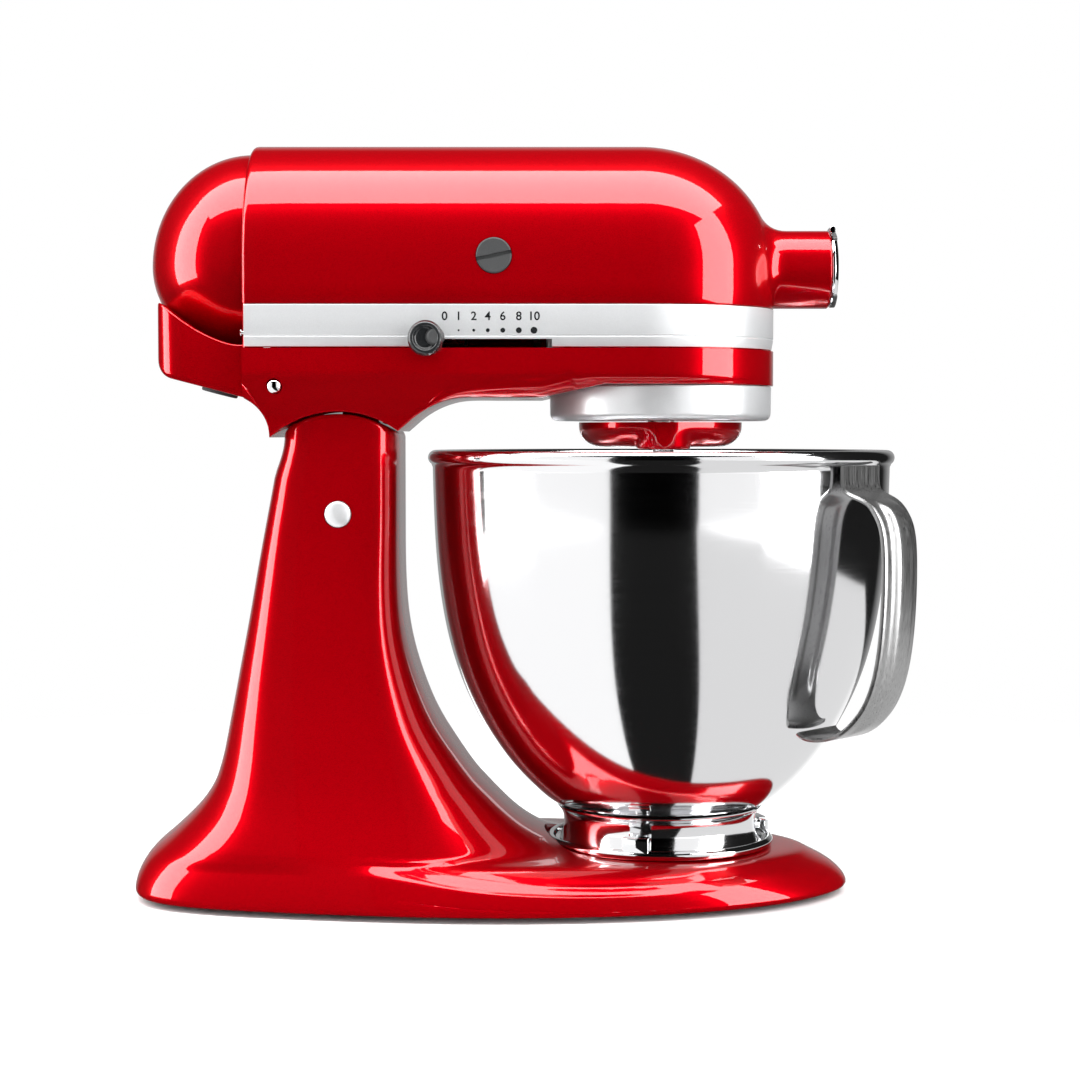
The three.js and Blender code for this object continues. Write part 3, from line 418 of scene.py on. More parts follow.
def weld(piece):
    shape = bmesh.new()
    shape.from_mesh(piece.data)
    bmesh.ops.remove_doubles(shape, verts=shape.verts, dist=0.000002)
    bmesh.ops.dissolve_degenerate(shape, edges=shape.edges, dist=0.000001)
    bmesh.ops.recalc_face_normals(shape, faces=shape.faces)
    for face in shape.faces:
        face.smooth = True
    for edge in shape.edges:
        edge.smooth = edge.calc_face_angle(0) < SHARP_ANGLE
    shape.to_mesh(piece.data)
    shape.free()


def loft(name, rings, made=None, closed=False, caps=True):
    """A skin over rings with the same number of points; closed joins the last ring to the first."""
    count = len(rings[0])
    points = [point for ring in rings for point in ring]
    faces = []
    for row in range(len(rings) if closed else len(rings) - 1):
        above = (row + 1) % len(rings) * count
        for i in range(count):
            j = (i + 1) % count
            faces.append((row * count + i, row * count + j, above + j, above + i))
    if caps and not closed:
        faces.append(tuple(range(count)))
        faces.append(tuple(range(len(points) - count, len(points))))
    return skin(name, points, faces, made)


def turned(name, profile, made=None, at=(0, 0, 0), up=(0, 0, 1), sides=96):
    """A body turned about an axis: (radius, distance along it) pairs, closed or ending on the axis."""
    turn = Vector((0, 0, 1)).rotation_difference(Vector(up)).to_matrix()
    rings = []
    for radius, height in profile:
        spokes = [Vector((radius * math.cos(a), radius * math.sin(a), height)) for a in whole_turn(sides)]
        rings.append([turn @ spoke + Vector(at) for spoke in spokes])
    on_axis = profile[0][0] == 0 and profile[-1][0] == 0
    return loft(name, rings, made, closed=not on_axis, caps=False)


def prism(name, outline, low, high, made=None, across="y"):
    """An outline extruded along one axis, with (x, z), (x, y) or (y, z) pairs."""
    at = "xyz".index(across)
    return loft(name, [[(*pair[:at], end, *pair[at:]) for pair in outline] for end in (low, high)], made)


def block(name, low, high):
    outline = [(low[0], low[1]), (high[0], low[1]), (high[0], high[1]), (low[0], high[1])]
    return prism(name, outline, low[2], high[2], across="z")


def bar(name, radius, start, end, sides=48):
    """A round bar between two points."""
    start, end = Vector(start), Vector(end)
    length = (end - start).length
    profile = [(0, 0), (radius, 0), (radius, length), (0, length)]
    return turned(name, profile, None, start, end - start, sides)


def bake(piece):
    """Applies the piece's modifiers."""
    view = bpy.context.evaluated_depsgraph_get()
    mesh = bpy.data.meshes.new_from_object(piece.evaluated_get(view))
    piece.modifiers.clear()
    piece.data = mesh


def combine(piece, operation, *tools):
    """Joins, cuts or intersects the piece with closed tools, which are used up."""
    for tool in tools:
        modifier = piece.modifiers.new(tool.name, "BOOLEAN")
        modifier.operation = operation
        modifier.solver = "MANIFOLD"
        modifier.object = tool
    bake(piece)
    for tool in tools:
        bpy.data.objects.remove(tool)
    weld(piece)
    return piece


def cut(piece, *tools):
    return combine(piece, "DIFFERENCE", *tools)


def join(piece, *tools):
    return combine(piece, "UNION", *tools)


def soften(piece, width, segments=3):
    """Rounds the piece's real edges."""
    modifier = piece.modifiers.new("soften", "BEVEL")
    modifier.width = width * MM
    modifier.segments = segments
    modifier.limit_method = "ANGLE"
    modifier.angle_limit = BEVEL_ANGLE
    bake(piece)
    weld(piece)
    return piece


def turn_about(piece, angle, at=(0, 0, 0), axis="Z"):
    """Turns a finished mesh about an axis through a point in millimetres."""
    pivot = Matrix.Translation(Vector(at) * MM)
    piece.data.transform(pivot @ Matrix.Rotation(angle, 4, axis) @ pivot.inverted())
    return piece


def put(piece, at, turn):
    """Turns a finished mesh about the origin, then moves it to a point in millimetres."""
    piece.data.transform(Matrix.Translation(Vector(at) * MM) @ turn)
    return piece


def carry(piece, body, slot, *nodes):
    """Rides the piece on a body and hides the nodes it stands for; the slot argument is not used."""
    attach(piece, body)
    if nodes:
        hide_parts(*nodes)
    return piece


# ---------------------------------------------------------------- the stand
BASE_OUTLINE = (
    (157, 0), (150, 25), (125, 51), (91, 69), (49, 80), (1, 84), (-49, 81.5),
    (-114, 70.5), (-150, 60), (-170, 46), (-178, 25), (-180, 0),
)
# Front reach and height, side reach and height, back reach and height, boxiness, share of the base outline.
STAND_LEVELS = (
    (26, 232, 46, 232, 27.5, 232, 5, 0),
    (26, 215, 46, 215, 28.9, 215, 5, 0),
    (26, 177, 46.8, 177, 36, 177, 5, 0),
    (26.2, 155, 48, 155, 40.3, 155, 4.6, 0),
    (27.5, 132, 50, 132, 44.4, 132, 4.3, 0),
    (31.5, 112, 52, 112, 48.4, 112, 4, 0),
    (38, 93.5, 54.3, 93.5, 52, 93.5, 3.7, 0),
    (44, 81, 56.3, 81, 54.6, 81, 3.5, 0),
    (51.5, 69.5, 58.3, 69.5, 57, 69.5, 3.3, 0),
    (60, 57.5, 60.5, 57.5, 60.5, 57.5, 3.1, 0),
    (66, 51, 62, 51, 63.8, 51, 3, 0),
    (73, 44, 64.3, 44, 68.5, 44, 2.9, 0.03),
    (82.6, 35.5, 67.8, 35.5, 76.5, 35.5, 2.8, 0.08),
    (95, 28.5, 70.7, 28.5, 84, 28.5, 2.7, 0.18),
    (110, 24.3, 71.4, 27, 89, 24.3, 2.6, 0.32),
    (135, 22.3, 72.6, 24, 92, 21.4, 2.6, 0.55),
    (205, 21.8, 74.2, 20, 94.4, 18.6, 2.6, 1),
    (217, 19.3, 75.6, 16, 96.6, 15.2, 2.6, 1),
    (228, 14.4, 76.8, 11.6, 98.6, 11.2, 2.6, 1),
    (235, 8.4, 77.6, 7, 99.8, 7, 2.6, 1),
    (237, 4.2, 77.8, 4, 100, 4, 2.6, 1),
    (235.4, 2.6, 76.4, 2.6, 98.6, 2.6, 2.6, 1),
)


def base_directions(count):
    """Angles and distances of the base's outline, seen from the pedestal's axis, all the way round."""
    mirror = [(x, -y) for x, y in BASE_OUTLINE]
    loop = [*mirror[2:0:-1], *BASE_OUTLINE, *mirror[-2:-4:-1]]
    smooth = smooth_rows(loop, 12)
    half = evenly(smooth[24:-24], count // 2 + 1)
    half[0][1] = half[-1][1] = 0
    whole = np.vstack([half, half[-2:0:-1] * (1, -1)])
    along = whole[:, 0] - PEDESTAL_X
    return np.arctan2(whole[:, 1], along), np.hypot(whole[:, 1], along)


def stand_rings(levels, count, inset=0.0):
    """Rings of distance and height round the pedestal's axis, one for each level."""
    angles, outline = base_directions(count)
    side_outline = outline[np.argmin(abs(abs(angles) - math.pi / 2))]
    share = np.cos(angles) ** 2
    ahead = np.cos(angles) > 0
    distances, heights = [], []
    for front, front_z, side, side_z, back, back_z, square, spread in levels:
        reach = np.where(ahead, front, back)
        end = np.where(ahead, outline[0], outline[count // 2])
        powers = abs(np.cos(angles) / reach) ** square + abs(np.sin(angles) / side) ** square
        boxy = powers ** (-1 / square)
        scaled = outline * (side / side_outline * (1 - share) + reach / end * share)
        spread = min(spread, 1)
        distances.append(boxy * (1 - spread) + scaled * spread - inset)
        heights.append(side_z * (1 - share) + np.where(ahead, front_z, back_z) * share)
    distances, heights = np.array(distances), np.array(heights)
    low = np.array(levels)[:, 7] > 0.5
    heights[low] = bevelled(angles, outline, distances[low] + inset, heights[low])
    return angles, distances, heights


def bevelled(angles, outline, distances, heights):
    """Slopes the base's long front sides down to the edge, leaving its two ends as they are."""
    softness = 1.2
    lip, shoulder, shoulder_run, slope = 3, 5.5, 1.2, 0.98
    end_release, rear_release = 60, 16
    edge = outline[:, None] * np.stack([np.cos(angles), np.sin(angles)], axis=1)
    run = np.roll(edge, -1, axis=0) - np.roll(edge, 1, axis=0)
    ends = 1 - abs(run[:, 0]) / np.linalg.norm(run, axis=1)
    rear = (1 - np.cos(angles)) ** 2
    lowered = []
    for row, level in zip(distances, heights):
        point = row[:, None] * np.stack([np.cos(angles), np.sin(angles)], axis=1)
        gaps = np.linalg.norm(point[:, None] - edge[None], axis=2)
        gap = gaps.min(axis=1)
        limit = lip + shoulder * (1 - np.exp(-gap / shoulder_run)) + slope * gap
        limit = limit + end_release * ends[gaps.argmin(axis=1)] + rear_release * rear
        lowered.append(-softness * np.logaddexp(-level / softness, -limit / softness))
    return np.array(lowered)


def crown_height(x):
    """Height of the pedestal's rounded top, which is a cylinder about the hinge."""
    return HINGE.z + math.sqrt(max(CROWN_RADIUS**2 - (x - HINGE.x) ** 2, 0))


def stand_outside():
    """The stand's outer skin, from the middle of the crown down to the edge of the base."""
    count = 192
    edge = 2.2
    straight_z = 198.0
    angles, distances, heights = stand_rings(smooth_rows(STAND_LEVELS, 6), count)
    columns = []
    for angle, distance, height in zip(angles, distances.T, heights.T):
        reach = np.interp(216, height[::-1], distance[::-1])
        top = crown_height(PEDESTAL_X + reach * math.cos(angle)) - edge
        share = np.clip((height - straight_z) / (height[0] - straight_z), 0, None)
        height = np.where(height > straight_z, straight_z + share * (top - straight_z), height)
        wall = [(d, z) for d, z in zip(distance, height)]
        rim = wall[0][0]
        shoulder = [(rim - edge * (1 - math.cos(a)), edge * (1 - math.sin(a)))
                    for a in np.radians((75, 60, 45, 30, 15))]
        crown = [(share * (rim - edge), 0) for share in np.linspace(0, 1, 16)]
        above = [(d, crown_height(PEDESTAL_X + d * math.cos(angle)) - drop) for d, drop in crown + shoulder]
        ahead, across = math.cos(angle), math.sin(angle)
        columns.append([(PEDESTAL_X + d * ahead, d * across, z) for d, z in above + wall])
    return loft("stand_shell", list(zip(*columns)), "red_lacquer")


def stand_shell():
    angles, distances, heights = stand_rings(smooth_rows(STAND_LEVELS[1:], 3), 96, inset=WALL)
    rings = [
        [(PEDESTAL_X + d * math.cos(a), d * math.sin(a), z - WALL) for a, d, z in zip(angles, row, level)]
        for row, level in zip(distances, heights)
    ]
    rings.append([(x, y, -5) for x, y, z in rings[-1]])
    inside = loft("inside", rings)
    plate_radius = box_of("bowl_clamp_plate")[1].y
    seat = bar("seat", plate_radius + 0.9, (BOWL_X, 0, 22), (BOWL_X, 0, 60), sides=144)
    slots = (
        block("tongue_slot", (-109, -20.5, 190), (-61, 20.5, 240)),
        block("swing_slot", (-130, -20.5, 205), (-105, 20.5, 240)),
    )
    bore = bar("bore", HINGE_BORE, (HINGE.x, -61, HINGE.z), (HINGE.x, 61, HINGE.z))
    shell = cut(stand_outside(), inside, *slots, seat)
    bosses = [bar("boss", 9, (x, y, 2.6), (x, y, 15), sides=32) for x, y in FOOT_SPOTS]
    return cut(join(shell, *bosses), bore)


def clamp_plate():
    """The plate's dish with its rolled lip, and the three hooks that hold the bowl's lugs."""
    profile = rounded(
        [(16, 22.3), (53.6, 22.3, 0.8), (54, 24.8, 1.2), (52.4, 26.9, 1.0), (50.6, 26.2, 0.8),
         (49.4, 24.4, 0.8), (16, 24.4, 0.5)], closed=True)
    dish = turned("clamp_plate", profile, "chrome_trim", (BOWL_X, 0, 0), sides=144)
    for i, degrees in enumerate(HOOK_ANGLES):
        outline = rounded(
            [(53.2, 24.0), (53.2, 32.6, 1.4), (48.1, 32.6, 0.5), (48.1, 31.1, 0.4), (51.4, 31.1, 0.8),
             (51.4, 24.0)], closed=True)
        hook = soften(prism(f"hook_{i}", outline, -6, 6, across="y"), 0.35, 2)
        join(dish, put(hook, (BOWL_X, 0, 0), Matrix.Rotation(math.radians(degrees), 4, "Z")))
    return dish


def cross_screw(name, head, shaft, length, made, at, up):
    """A round-headed screw with a cross in its head."""
    top = head * 0.45
    profile = [(0, -length), (shaft, -length), (shaft, 0), (head, 0)]
    for angle in np.radians((10, 30, 50, 70)):
        profile.append((head * math.cos(angle), 0.25 * top + 0.75 * top * math.sin(angle)))
    screw = turned(name, [*profile, (0, top)], made, at=(0, 0, 0), sides=40)
    groove = head * 0.13
    for i in range(2):
        slot = block("slot", (-head * 0.68, -groove, top * 0.45), (head * 0.68, groove, top * 2))
        cut(screw, turn_about(slot, math.pi / 2 * i + 0.35))
    turn = Vector((0, 0, 1)).rotation_difference(Vector(up)).to_matrix().to_4x4()
    return put(screw, at, turn)


def dressed_stand():
    carry(stand_shell(), "stand", "red_lacquer", "stand")
    carry(clamp_plate(), "stand", "chrome_trim", "bowl_clamp_plate")
    for i, degrees in enumerate(SCREW_ANGLES, 1):
        angle = math.radians(degrees)
        at = (BOWL_X + SCREW_RADIUS * math.cos(angle), SCREW_RADIUS * math.sin(angle), 23.4)
        screw = cross_screw(f"plate_screw_{i}", 3.3, 1.6, 7.5, "gear_steel", at, (0, 0, 1))
        carry(screw, "stand", "gear_steel", f"clamp_screw_{i}")
    reach = box_of("hinge_pin")[1].y
    dome = [(6 * math.cos(a), reach - 1.7 + 1.7 * math.sin(a)) for a in np.radians(range(0, 91, 10))]
    pin = [*[(r, -z) for r, z in reversed(dome)], *dome]
    pin[0] = (0, pin[0][1])
    pin[-1] = (0, pin[-1][1])
    carry(turned("hinge_pin_dome", pin, "satin_silver", (HINGE.x, 0, HINGE.z), (0, 1, 0), 64),
          "stand", "chrome_trim", "hinge_pin")
    sole = rounded([(0, 0), (5.6, 0), (6.0, 0.5, 0.3), (6.6, 0.5, 0.3), (7.0, 0), (8.8, 0, 0.5), (9, 2.3),
                    (0, 2.3)])
    for i, (x, y) in enumerate(FOOT_SPOTS, 1):
        carry(turned(f"foot_pad_{i}", sole, "rubber", (x, y, 0), sides=48), "stand", "rubber", f"foot_{i}")


# ---------------------------------------------------------------- the head's castings


def head_outline(half, length, back, steps=48, side_steps=10, rear_radius=0.0):
    """The head from above as (x, y) pairs: round the nose from one rear corner to the other."""
    corner = [(back + rear_radius * (1 - math.cos(a)), half - rear_radius * (1 - math.sin(a)))
              for a in np.radians((0, 22.5, 45, 67.5))] if rear_radius else []
    sides = [(x, half) for x in np.linspace(back + rear_radius, NOSE_X, side_steps, endpoint=False)]
    near = [(x, -y) for x, y in corner + sides]
    turns = np.linspace(-math.pi / 2, math.pi / 2, steps)
    nose = [(NOSE_X + length * math.cos(a), half * math.sin(a)) for a in turns]
    return [*near, *nose, *((x, -y) for x, y in reversed(near))]


def head_ring(z, inset=0.0, back=None, **options):
    back = HEAD_REAR if back is None else back
    return [(x, y, z) for x, y in head_outline(HEAD_HALF - inset, NOSE_LENGTH - inset, back, **options)]


def dome_rings(inset, back, steps=30, rear_radius=0.0):
    """Rings of the head's rounded top, from the shoulder up to the ridge."""
    rings = []
    full = HEAD_HALF - inset
    plan = head_outline(full, NOSE_LENGTH - inset, back, rear_radius=rear_radius)
    for angle in np.linspace(0, math.pi / 2, steps):
        ring = []
        for x, y in plan:
            lost = full - abs(y) if x < NOSE_X else 0.0
            height = SHOULDER_Z + (full - lost) * math.sin(angle)
            forward = NOSE_X + (x - NOSE_X) * math.cos(angle) if x > NOSE_X else x
            ring.append((forward, y * math.cos(angle), height))
        rings.append(ring)
    return rings


def nose_surface(y, z):
    """How far forward the head's nose reaches at a height and a distance to the side."""
    left = 1 - (y / HEAD_HALF) ** 2 - (max(z - SHOULDER_Z, 0) / HEAD_HALF) ** 2
    return NOSE_X + NOSE_LENGTH * math.sqrt(max(left, 0))


def hub_tube():
    """The power outlet's tube, which flares into the nose everywhere but just over the band."""
    least_flare, added_flare = 0.5, 8.5
    rings = []
    for angle in np.linspace(0, 2 * math.pi, 120, endpoint=False):
        across, up = math.cos(angle), math.sin(angle)
        share = np.clip((up + 0.95) / 0.8, 0, 1)
        flare = least_flare + added_flare * ease(share)
        root = nose_surface(HUB_RADIUS * across, HUB_Z + HUB_RADIUS * up)
        wide = HUB_RADIUS + flare
        start = Vector((root + flare, HUB_RADIUS))
        corner = Vector((root, HUB_RADIUS))
        end = Vector((nose_surface(wide * across, HUB_Z + wide * up) - 0.04, wide))
        shares = np.linspace(0, 1, 10)
        fillet = [tuple(start * (1 - t) ** 2 + corner * 2 * t * (1 - t) + end * t * t) for t in shares]
        lip = rounded([(90, HUB_BORE), (HUB_END, HUB_BORE, 0.6), (HUB_END, HUB_RADIUS, 0.9), fillet[0]])
        profile = [*lip[:-1], *fillet, (end.x - 4, wide - 1.5), (90, HUB_BORE + 3)]
        rings.append([(x, r * across, HUB_Z + r * up) for x, r in profile])
    return loft("hub_tube", rings, "red_lacquer", closed=True)


def upper_shell():
    low = SEAM_Z + 0.3
    overhang = BAND_HIGH + 0.3
    levels = ((low, BAND_DEPTH), (overhang, BAND_DEPTH), (overhang + 0.02, 0.5), (overhang + 0.2, 0.15),
              (overhang + 0.6, 0), ((overhang + SHOULDER_Z) / 2, 0))
    outside = loft("upper_shell", [
        *(head_ring(z, inset=inset, rear_radius=REAR_CORNER) for z, inset in levels),
        *dome_rings(0, HEAD_REAR, rear_radius=REAR_CORNER),
    ], "red_lacquer")
    inside = loft("inside", [
        head_ring(low - 5, inset=WALL, back=HEAD_REAR - 10),
        *dome_rings(WALL, HEAD_REAR - 10, steps=20),
    ])
    shell = join(cut(outside, inside), hub_tube())
    rear, front, top = LEVER_SLOT
    slot = block("lever_slot", (rear, -70, low - 1), (front, -45, top))
    cap_holes = [bar("cap_hole", 8.25, (BRUSH_X, 40 * side, BRUSH_Z), (BRUSH_X, 70 * side, BRUSH_Z))
                 for side in (-1, 1)]
    screw_holes = [bar("screw_hole", 1.2, (-126, y, 262), (-117, y, 262), 16) for y in (-54, 54)]
    knob_hole = bar("knob_hole", 3.3, (HUB_KNOB_X, 0, HUB_Z), (HUB_KNOB_X, 30, HUB_Z))
    return cut(shell, slot, knob_hole, *cap_holes, *screw_holes)


def neck_underside():
    """The lower housing's underside from the rear to the nose, as (x, z) pairs."""
    reach = CROWN_RADIUS + 1
    back = smooth_rows([(-123, 232.6), (-118.5, 229.6), (-114.6, 224.6), (-112.6, 219.5), (-112, 215)], 8)
    front = smooth_rows([(-53.5, 217.8), (-50, 220.8), (-45, 225), (-38, 229.2), (-30, 232),
                         (-22, UNDERSIDE_Z), (-10, UNDERSIDE_Z)], 6)
    turns = np.radians(np.linspace(-41.6, 36, 44))
    arc = [(HINGE.x + reach * math.sin(a), HINGE.z + reach * math.cos(a)) for a in turns]
    step_z = DRIP_HIGH + 0.3
    ahead = [(x, UNDERSIDE_Z) for x in range(0, 13, 4)]
    ahead += [(x, UNDERSIDE_Z + (step_z - UNDERSIDE_Z) * (x - 12) / 28) for x in range(16, 41, 4)]
    nose = [(NOSE_X + NOSE_LENGTH * math.sin(a), step_z) for a in np.linspace(-0.24, math.pi / 2, 40)]
    return [*map(tuple, back), *arc, *map(tuple, front[1:]), *ahead, *nose]


def side_reach(z):
    """How far out the lower housing's side is at a height, before the nose narrows it."""
    start_z, fall, deepest = 244, 19, 10.6
    share = np.clip((start_z - z) / fall, 0, 1)
    return HEAD_HALF - deepest * ease(share)


def lower_sections():
    """Cross-sections of the lower housing, one for each point of its underside."""
    neck_radius, nose_radius, nose_z = 1.4, 1.2, 236
    rings = []
    for x, low in neck_underside():
        narrow = math.sqrt(max(1 - max((x - NOSE_X) / NOSE_LENGTH, 0) ** 2, 0))
        under_head = np.clip((low - 228) / 5, 0, 1)
        radius = nose_radius if low > nose_z else neck_radius + 5.6 * under_head
        half = [(0, low)]
        corner = side_reach(low + radius)
        for a in np.radians(np.linspace(0, 90, 9)):
            half.append((corner - radius * (1 - math.sin(a)), low + radius * (1 - math.cos(a))))
        for z in np.linspace(low + radius, SEAM_Z, 15)[1:]:
            half.append((side_reach(z), z))
        half = [(y * narrow, z) for y, z in half]
        rings.append([(x, -y, z) for y, z in reversed(half)] + [(x, y, z) for y, z in half[1:]])
    return rings


def lower_shell():
    shell = loft("lower_shell", lower_sections(), "red_lacquer")
    levels = ((243, WALL + 2), (246, WALL), (SEAM_Z + 5, WALL))
    inner = [head_ring(z, inset=inset, back=HEAD_REAR - 10) for z, inset in levels]
    seat = bar("seat", DRIP_RADIUS + 0.4, (BOWL_X, 0, 228), (BOWL_X, 0, DRIP_HIGH + 0.3), sides=144)
    shaft_hole = bar("shaft_hole", 13.5, (BOWL_X, 0, 230), (BOWL_X, 0, 250))
    lock_bore = bar("lock_bore", 3.5, (LOCK.x, -70, LOCK.z), (LOCK.x, 70, LOCK.z))
    screw_hole = bar("screw_hole", 3.7, (5, 0, 230), (5, 0, 236))
    shell = cut(shell, loft("inside", inner), seat, shaft_hole, lock_bore, screw_hole)
    web = prism("web", [(-81, 178), (-81, 231), (-64, 231), (-64, 222), (-69, 178)], -19, 19)
    eye = bar("eye", 13, (HINGE.x, -19, HINGE.z), (HINGE.x, 19, HINGE.z))
    bore = bar("bore", HINGE_BORE, (HINGE.x, -30, HINGE.z), (HINGE.x, 30, HINGE.z))
    return cut(join(shell, web, eye), bore)


def dome_section(x, narrow, inset, count=72):
    """One upright section of the rear dome: a half-round top and a shallower bottom."""
    half = max(53.2 * narrow - inset, 0.01)
    depth = max(42 * narrow - inset, 0.01)
    ring = []
    for angle in whole_turn(count):
        reach = half if math.sin(angle) > 0 else depth
        ring.append((x, half * math.cos(angle), SHOULDER_Z + reach * math.sin(angle)))
    return ring


def rear_dome(name, inset, start, made=None):
    rings = [dome_section(start, 1, inset)]
    for angle in np.radians(np.linspace(0, 90, 28)):
        x = HEAD_REAR - 0.3 - (48 - inset) * math.sin(angle)
        rings.append(dome_section(x, math.cos(angle), inset * math.cos(angle)))
    return loft(name, rings, made)


def rounding(share):
    """How far a unit quarter circle has turned in, from 0 before it starts to 1 at its end."""
    return 1 - math.sqrt(max(1 - max(share, 0) ** 2, 0))


def scoop(name, inset, front, made=None):
    """The air scoop: sections along X with a slanted top edge and rounded upright corners."""
    back = SCOOP_REAR + inset
    corner, low_corner, high_corner = 13.0, 7, 2.5
    top_line = smooth_rows([(front, 257), (-129, 257.4), (-137, 260.2), (-145, 264.2), (-154, 270.3),
                            (SCOOP_REAR, 277.4)], 4)
    rings = []
    stations = [back + corner * (1 - math.cos(a)) for a in np.radians(np.linspace(0, 90, 14))]
    stations += list(np.linspace(back + corner, front, 12)[1:])
    for x in stations:
        gone = max(back + corner - x, 0)
        half = 50 - inset - corner + math.sqrt(max(corner**2 - gone**2, 0))
        low = 242.6 - 9.4 * (x + 160) / 36 + inset
        low += low_corner * rounding((back + low_corner - x) / low_corner)
        high = float(np.interp(-x, -top_line[:, 0], top_line[:, 1])) - inset
        high -= high_corner * rounding((back + high_corner - x) / high_corner)
        corners = [(-half, low, 2.5), (half, low, 2.5), (half, high, 1.3), (-half, high, 1.3)]
        outline = rounded(corners, closed=True, steps=6)
        rings.append([(x, y, z) for y, z in outline])
    return loft(name, rings, made)


def rear_shell():
    front = HEAD_REAR - 0.3
    shell = join(rear_dome("rear_shell", 0, front, "red_lacquer"), scoop("scoop", 0, front))
    cut(shell, rear_dome("dome_inside", 3, HEAD_REAR + 5), scoop("scoop_inside", 3, HEAD_REAR + 5))
    low, high = box_of("cord_grommet")
    x, y, z = (low + high) / 2
    hole = turn_about(bar("cord_hole", 7.3, (x, y, z - 14), (x, y, z + 14)), CORD_TILT, (x, y, z), "Y")
    vents = [block("vent", (x - 1.6, -34, 228), (x + 1.6, 8, 252)) for x in (-134, -143, -152)]
    return cut(shell, hole, *(soften(vent, 1.4, 4) for vent in vents))


def band_strip():
    """The trim band: one section swept round the head, flat above with a bevelled lip below."""
    section = rounded(
        [(BAND_DEPTH - 0.3, BAND_LOW), (0.9, BAND_LOW, 0.2), (0.1, BAND_LOW + 4.4, 0.3),
         (0.45, BAND_LOW + 4.9, 0.1), (0, BAND_LOW + 5.3, 0.2), (0, BAND_HIGH, 0.4),
         (BAND_DEPTH - 0.3, BAND_HIGH)], closed=True, steps=3)
    rings = []
    plan = head_outline(1, 1, HEAD_REAR + 1, steps=72, side_steps=24)
    for x, side in plan:
        straight = x < NOSE_X
        spread = math.sqrt(max(1 - side * side, 0))
        ring = []
        for inset, z in section:
            forward = x if straight else NOSE_X + (NOSE_LENGTH - inset) * spread
            ring.append((forward, side * (HEAD_HALF - inset), z))
        rings.append(ring)
    strip = loft("band_strip", rings, "satin_silver")
    rear, front, top = LEVER_SLOT
    return cut(strip, block("lever_slot", (rear, -70, BAND_LOW - 1), (front, -45, top)))


def speed_marks():
    """The dial's numbers with growing dots under all but the first, printed just proud of the band."""
    surface = -HEAD_HALF - 0.02
    stations = (-31.8, -25.5, -18.7, -12.4, -5.7, 1.5, 8.3)
    marks = []
    for i, (x, text) in enumerate(zip(stations, ("0", "1", "2", "4", "6", "8", "10"))):
        letters = bpy.data.curves.new("number", "FONT")
        letters.body = text
        letters.size = 5.4 * MM
        letters.extrude = 0.03 * MM
        letters.offset = 0.09 * MM
        letters.align_x = "CENTER"
        sign = bpy.data.objects.new("number", letters)
        bpy.context.scene.collection.objects.link(sign)
        bpy.context.view_layer.update()
        mesh = bpy.data.meshes.new_from_object(sign)
        bpy.data.objects.remove(sign)
        piece = bpy.data.objects.new(f"number_{text}", mesh)
        bpy.context.scene.collection.objects.link(piece)
        marks.append(put(piece, (x, surface, 267.6), Matrix.Rotation(math.pi / 2, 4, "X")))
        if i:
            radius = 0.22 + 0.22 * i
            marks.append(turned("dot", [(0, -0.03), (radius, -0.03), (radius, 0.03), (0, 0.03)], None,
                                (x, surface, 263), (0, -1, 0), 32))
    shape = bmesh.new()
    for mark in marks:
        shape.from_mesh(mark.data)
        bpy.data.objects.remove(mark)
    mesh = bpy.data.meshes.new("speed_marks")
    shape.to_mesh(mesh)
    shape.free()
    mesh.materials.append(MATERIALS["black_gloss"])
    printed = bpy.data.objects.new("speed_marks", mesh)
    bpy.context.scene.collection.objects.link(printed)
    return printed


def dressed_head():
    carry(upper_shell(), "head", "red_lacquer", "upper_housing")
    carry(lower_shell(), "head", "red_lacquer", "lower_housing")
    carry(rear_shell(), "head", "red_lacquer", "rear_cover")
    carry(band_strip(), "head", "satin_silver", "trim_band")
    carry(speed_marks(), "head", "black_gloss")
    r = DRIP_RADIUS
    section = rounded(
        [(41, DRIP_LOW, 0.6), (r - 0.2, DRIP_LOW, 3.4), (r, DRIP_HIGH, 0.8), (r - 2.2, DRIP_HIGH, 0.6),
         (r - 2.4, DRIP_LOW + 2.4, 1.2), (41, DRIP_LOW + 2.4, 0.6)], closed=True, steps=6)
    ring = turned("drip_ring_satin", section, "satin_silver", (BOWL_X, 0, 0), sides=160)
    carry(ring, "head", "satin_silver", "drip_ring")
    for label, side in (("left", 1), ("right", -1)):
        cap = rounded([(0, 0), (8, 0), (8, 7.1, 0.7), (6.6, 6.9, 0.3), (0, 6.6)])
        disc = turned(f"brush_cap_disc_{label}", cap, "black_matte", sides=72)
        slot = turn_about(block("slot", (-9, -0.85, 5.2), (9, 0.85, 8)), math.radians(12))
        cut(disc, slot)
        put(disc, (BRUSH_X, side * 50.6, BRUSH_Z), Matrix.Rotation(-side * math.pi / 2, 4, "X"))
        carry(disc, "head", "black_matte", f"brush_cap_{label}")
        at = (HEAD_REAR - 0.3, side * 54, 262)
        screw = cross_screw(f"band_screw_{label}", 1.7, 0.8, 5, "chrome_trim", at, (-1, 0, 0))
        carry(screw, "head", "chrome_trim", f"trim_screw_{label}")
    screw = cross_screw("case_screw", 3.2, 1.5, 0.3, "gear_steel", (5, 0, 235.6), (0, 0, -1))
    carry(screw, "head", "gear_steel", "underside_screw")
    sleeve = rounded([(3.6, -3, 0.8), (8.8, -3, 0.8), (8.8, -0.6, 0.4), (6.9, -0.6), (6.9, 4, 0.4),
                      (3.6, 4, 0.4)], closed=True)
    lean = (math.sin(CORD_TILT), 0, math.cos(CORD_TILT))
    collar = turned("cord_sleeve", sleeve, "rubber", (-143, 20, 238.6), lean, 56)
    carry(collar, "head", "rubber", "cord_grommet")


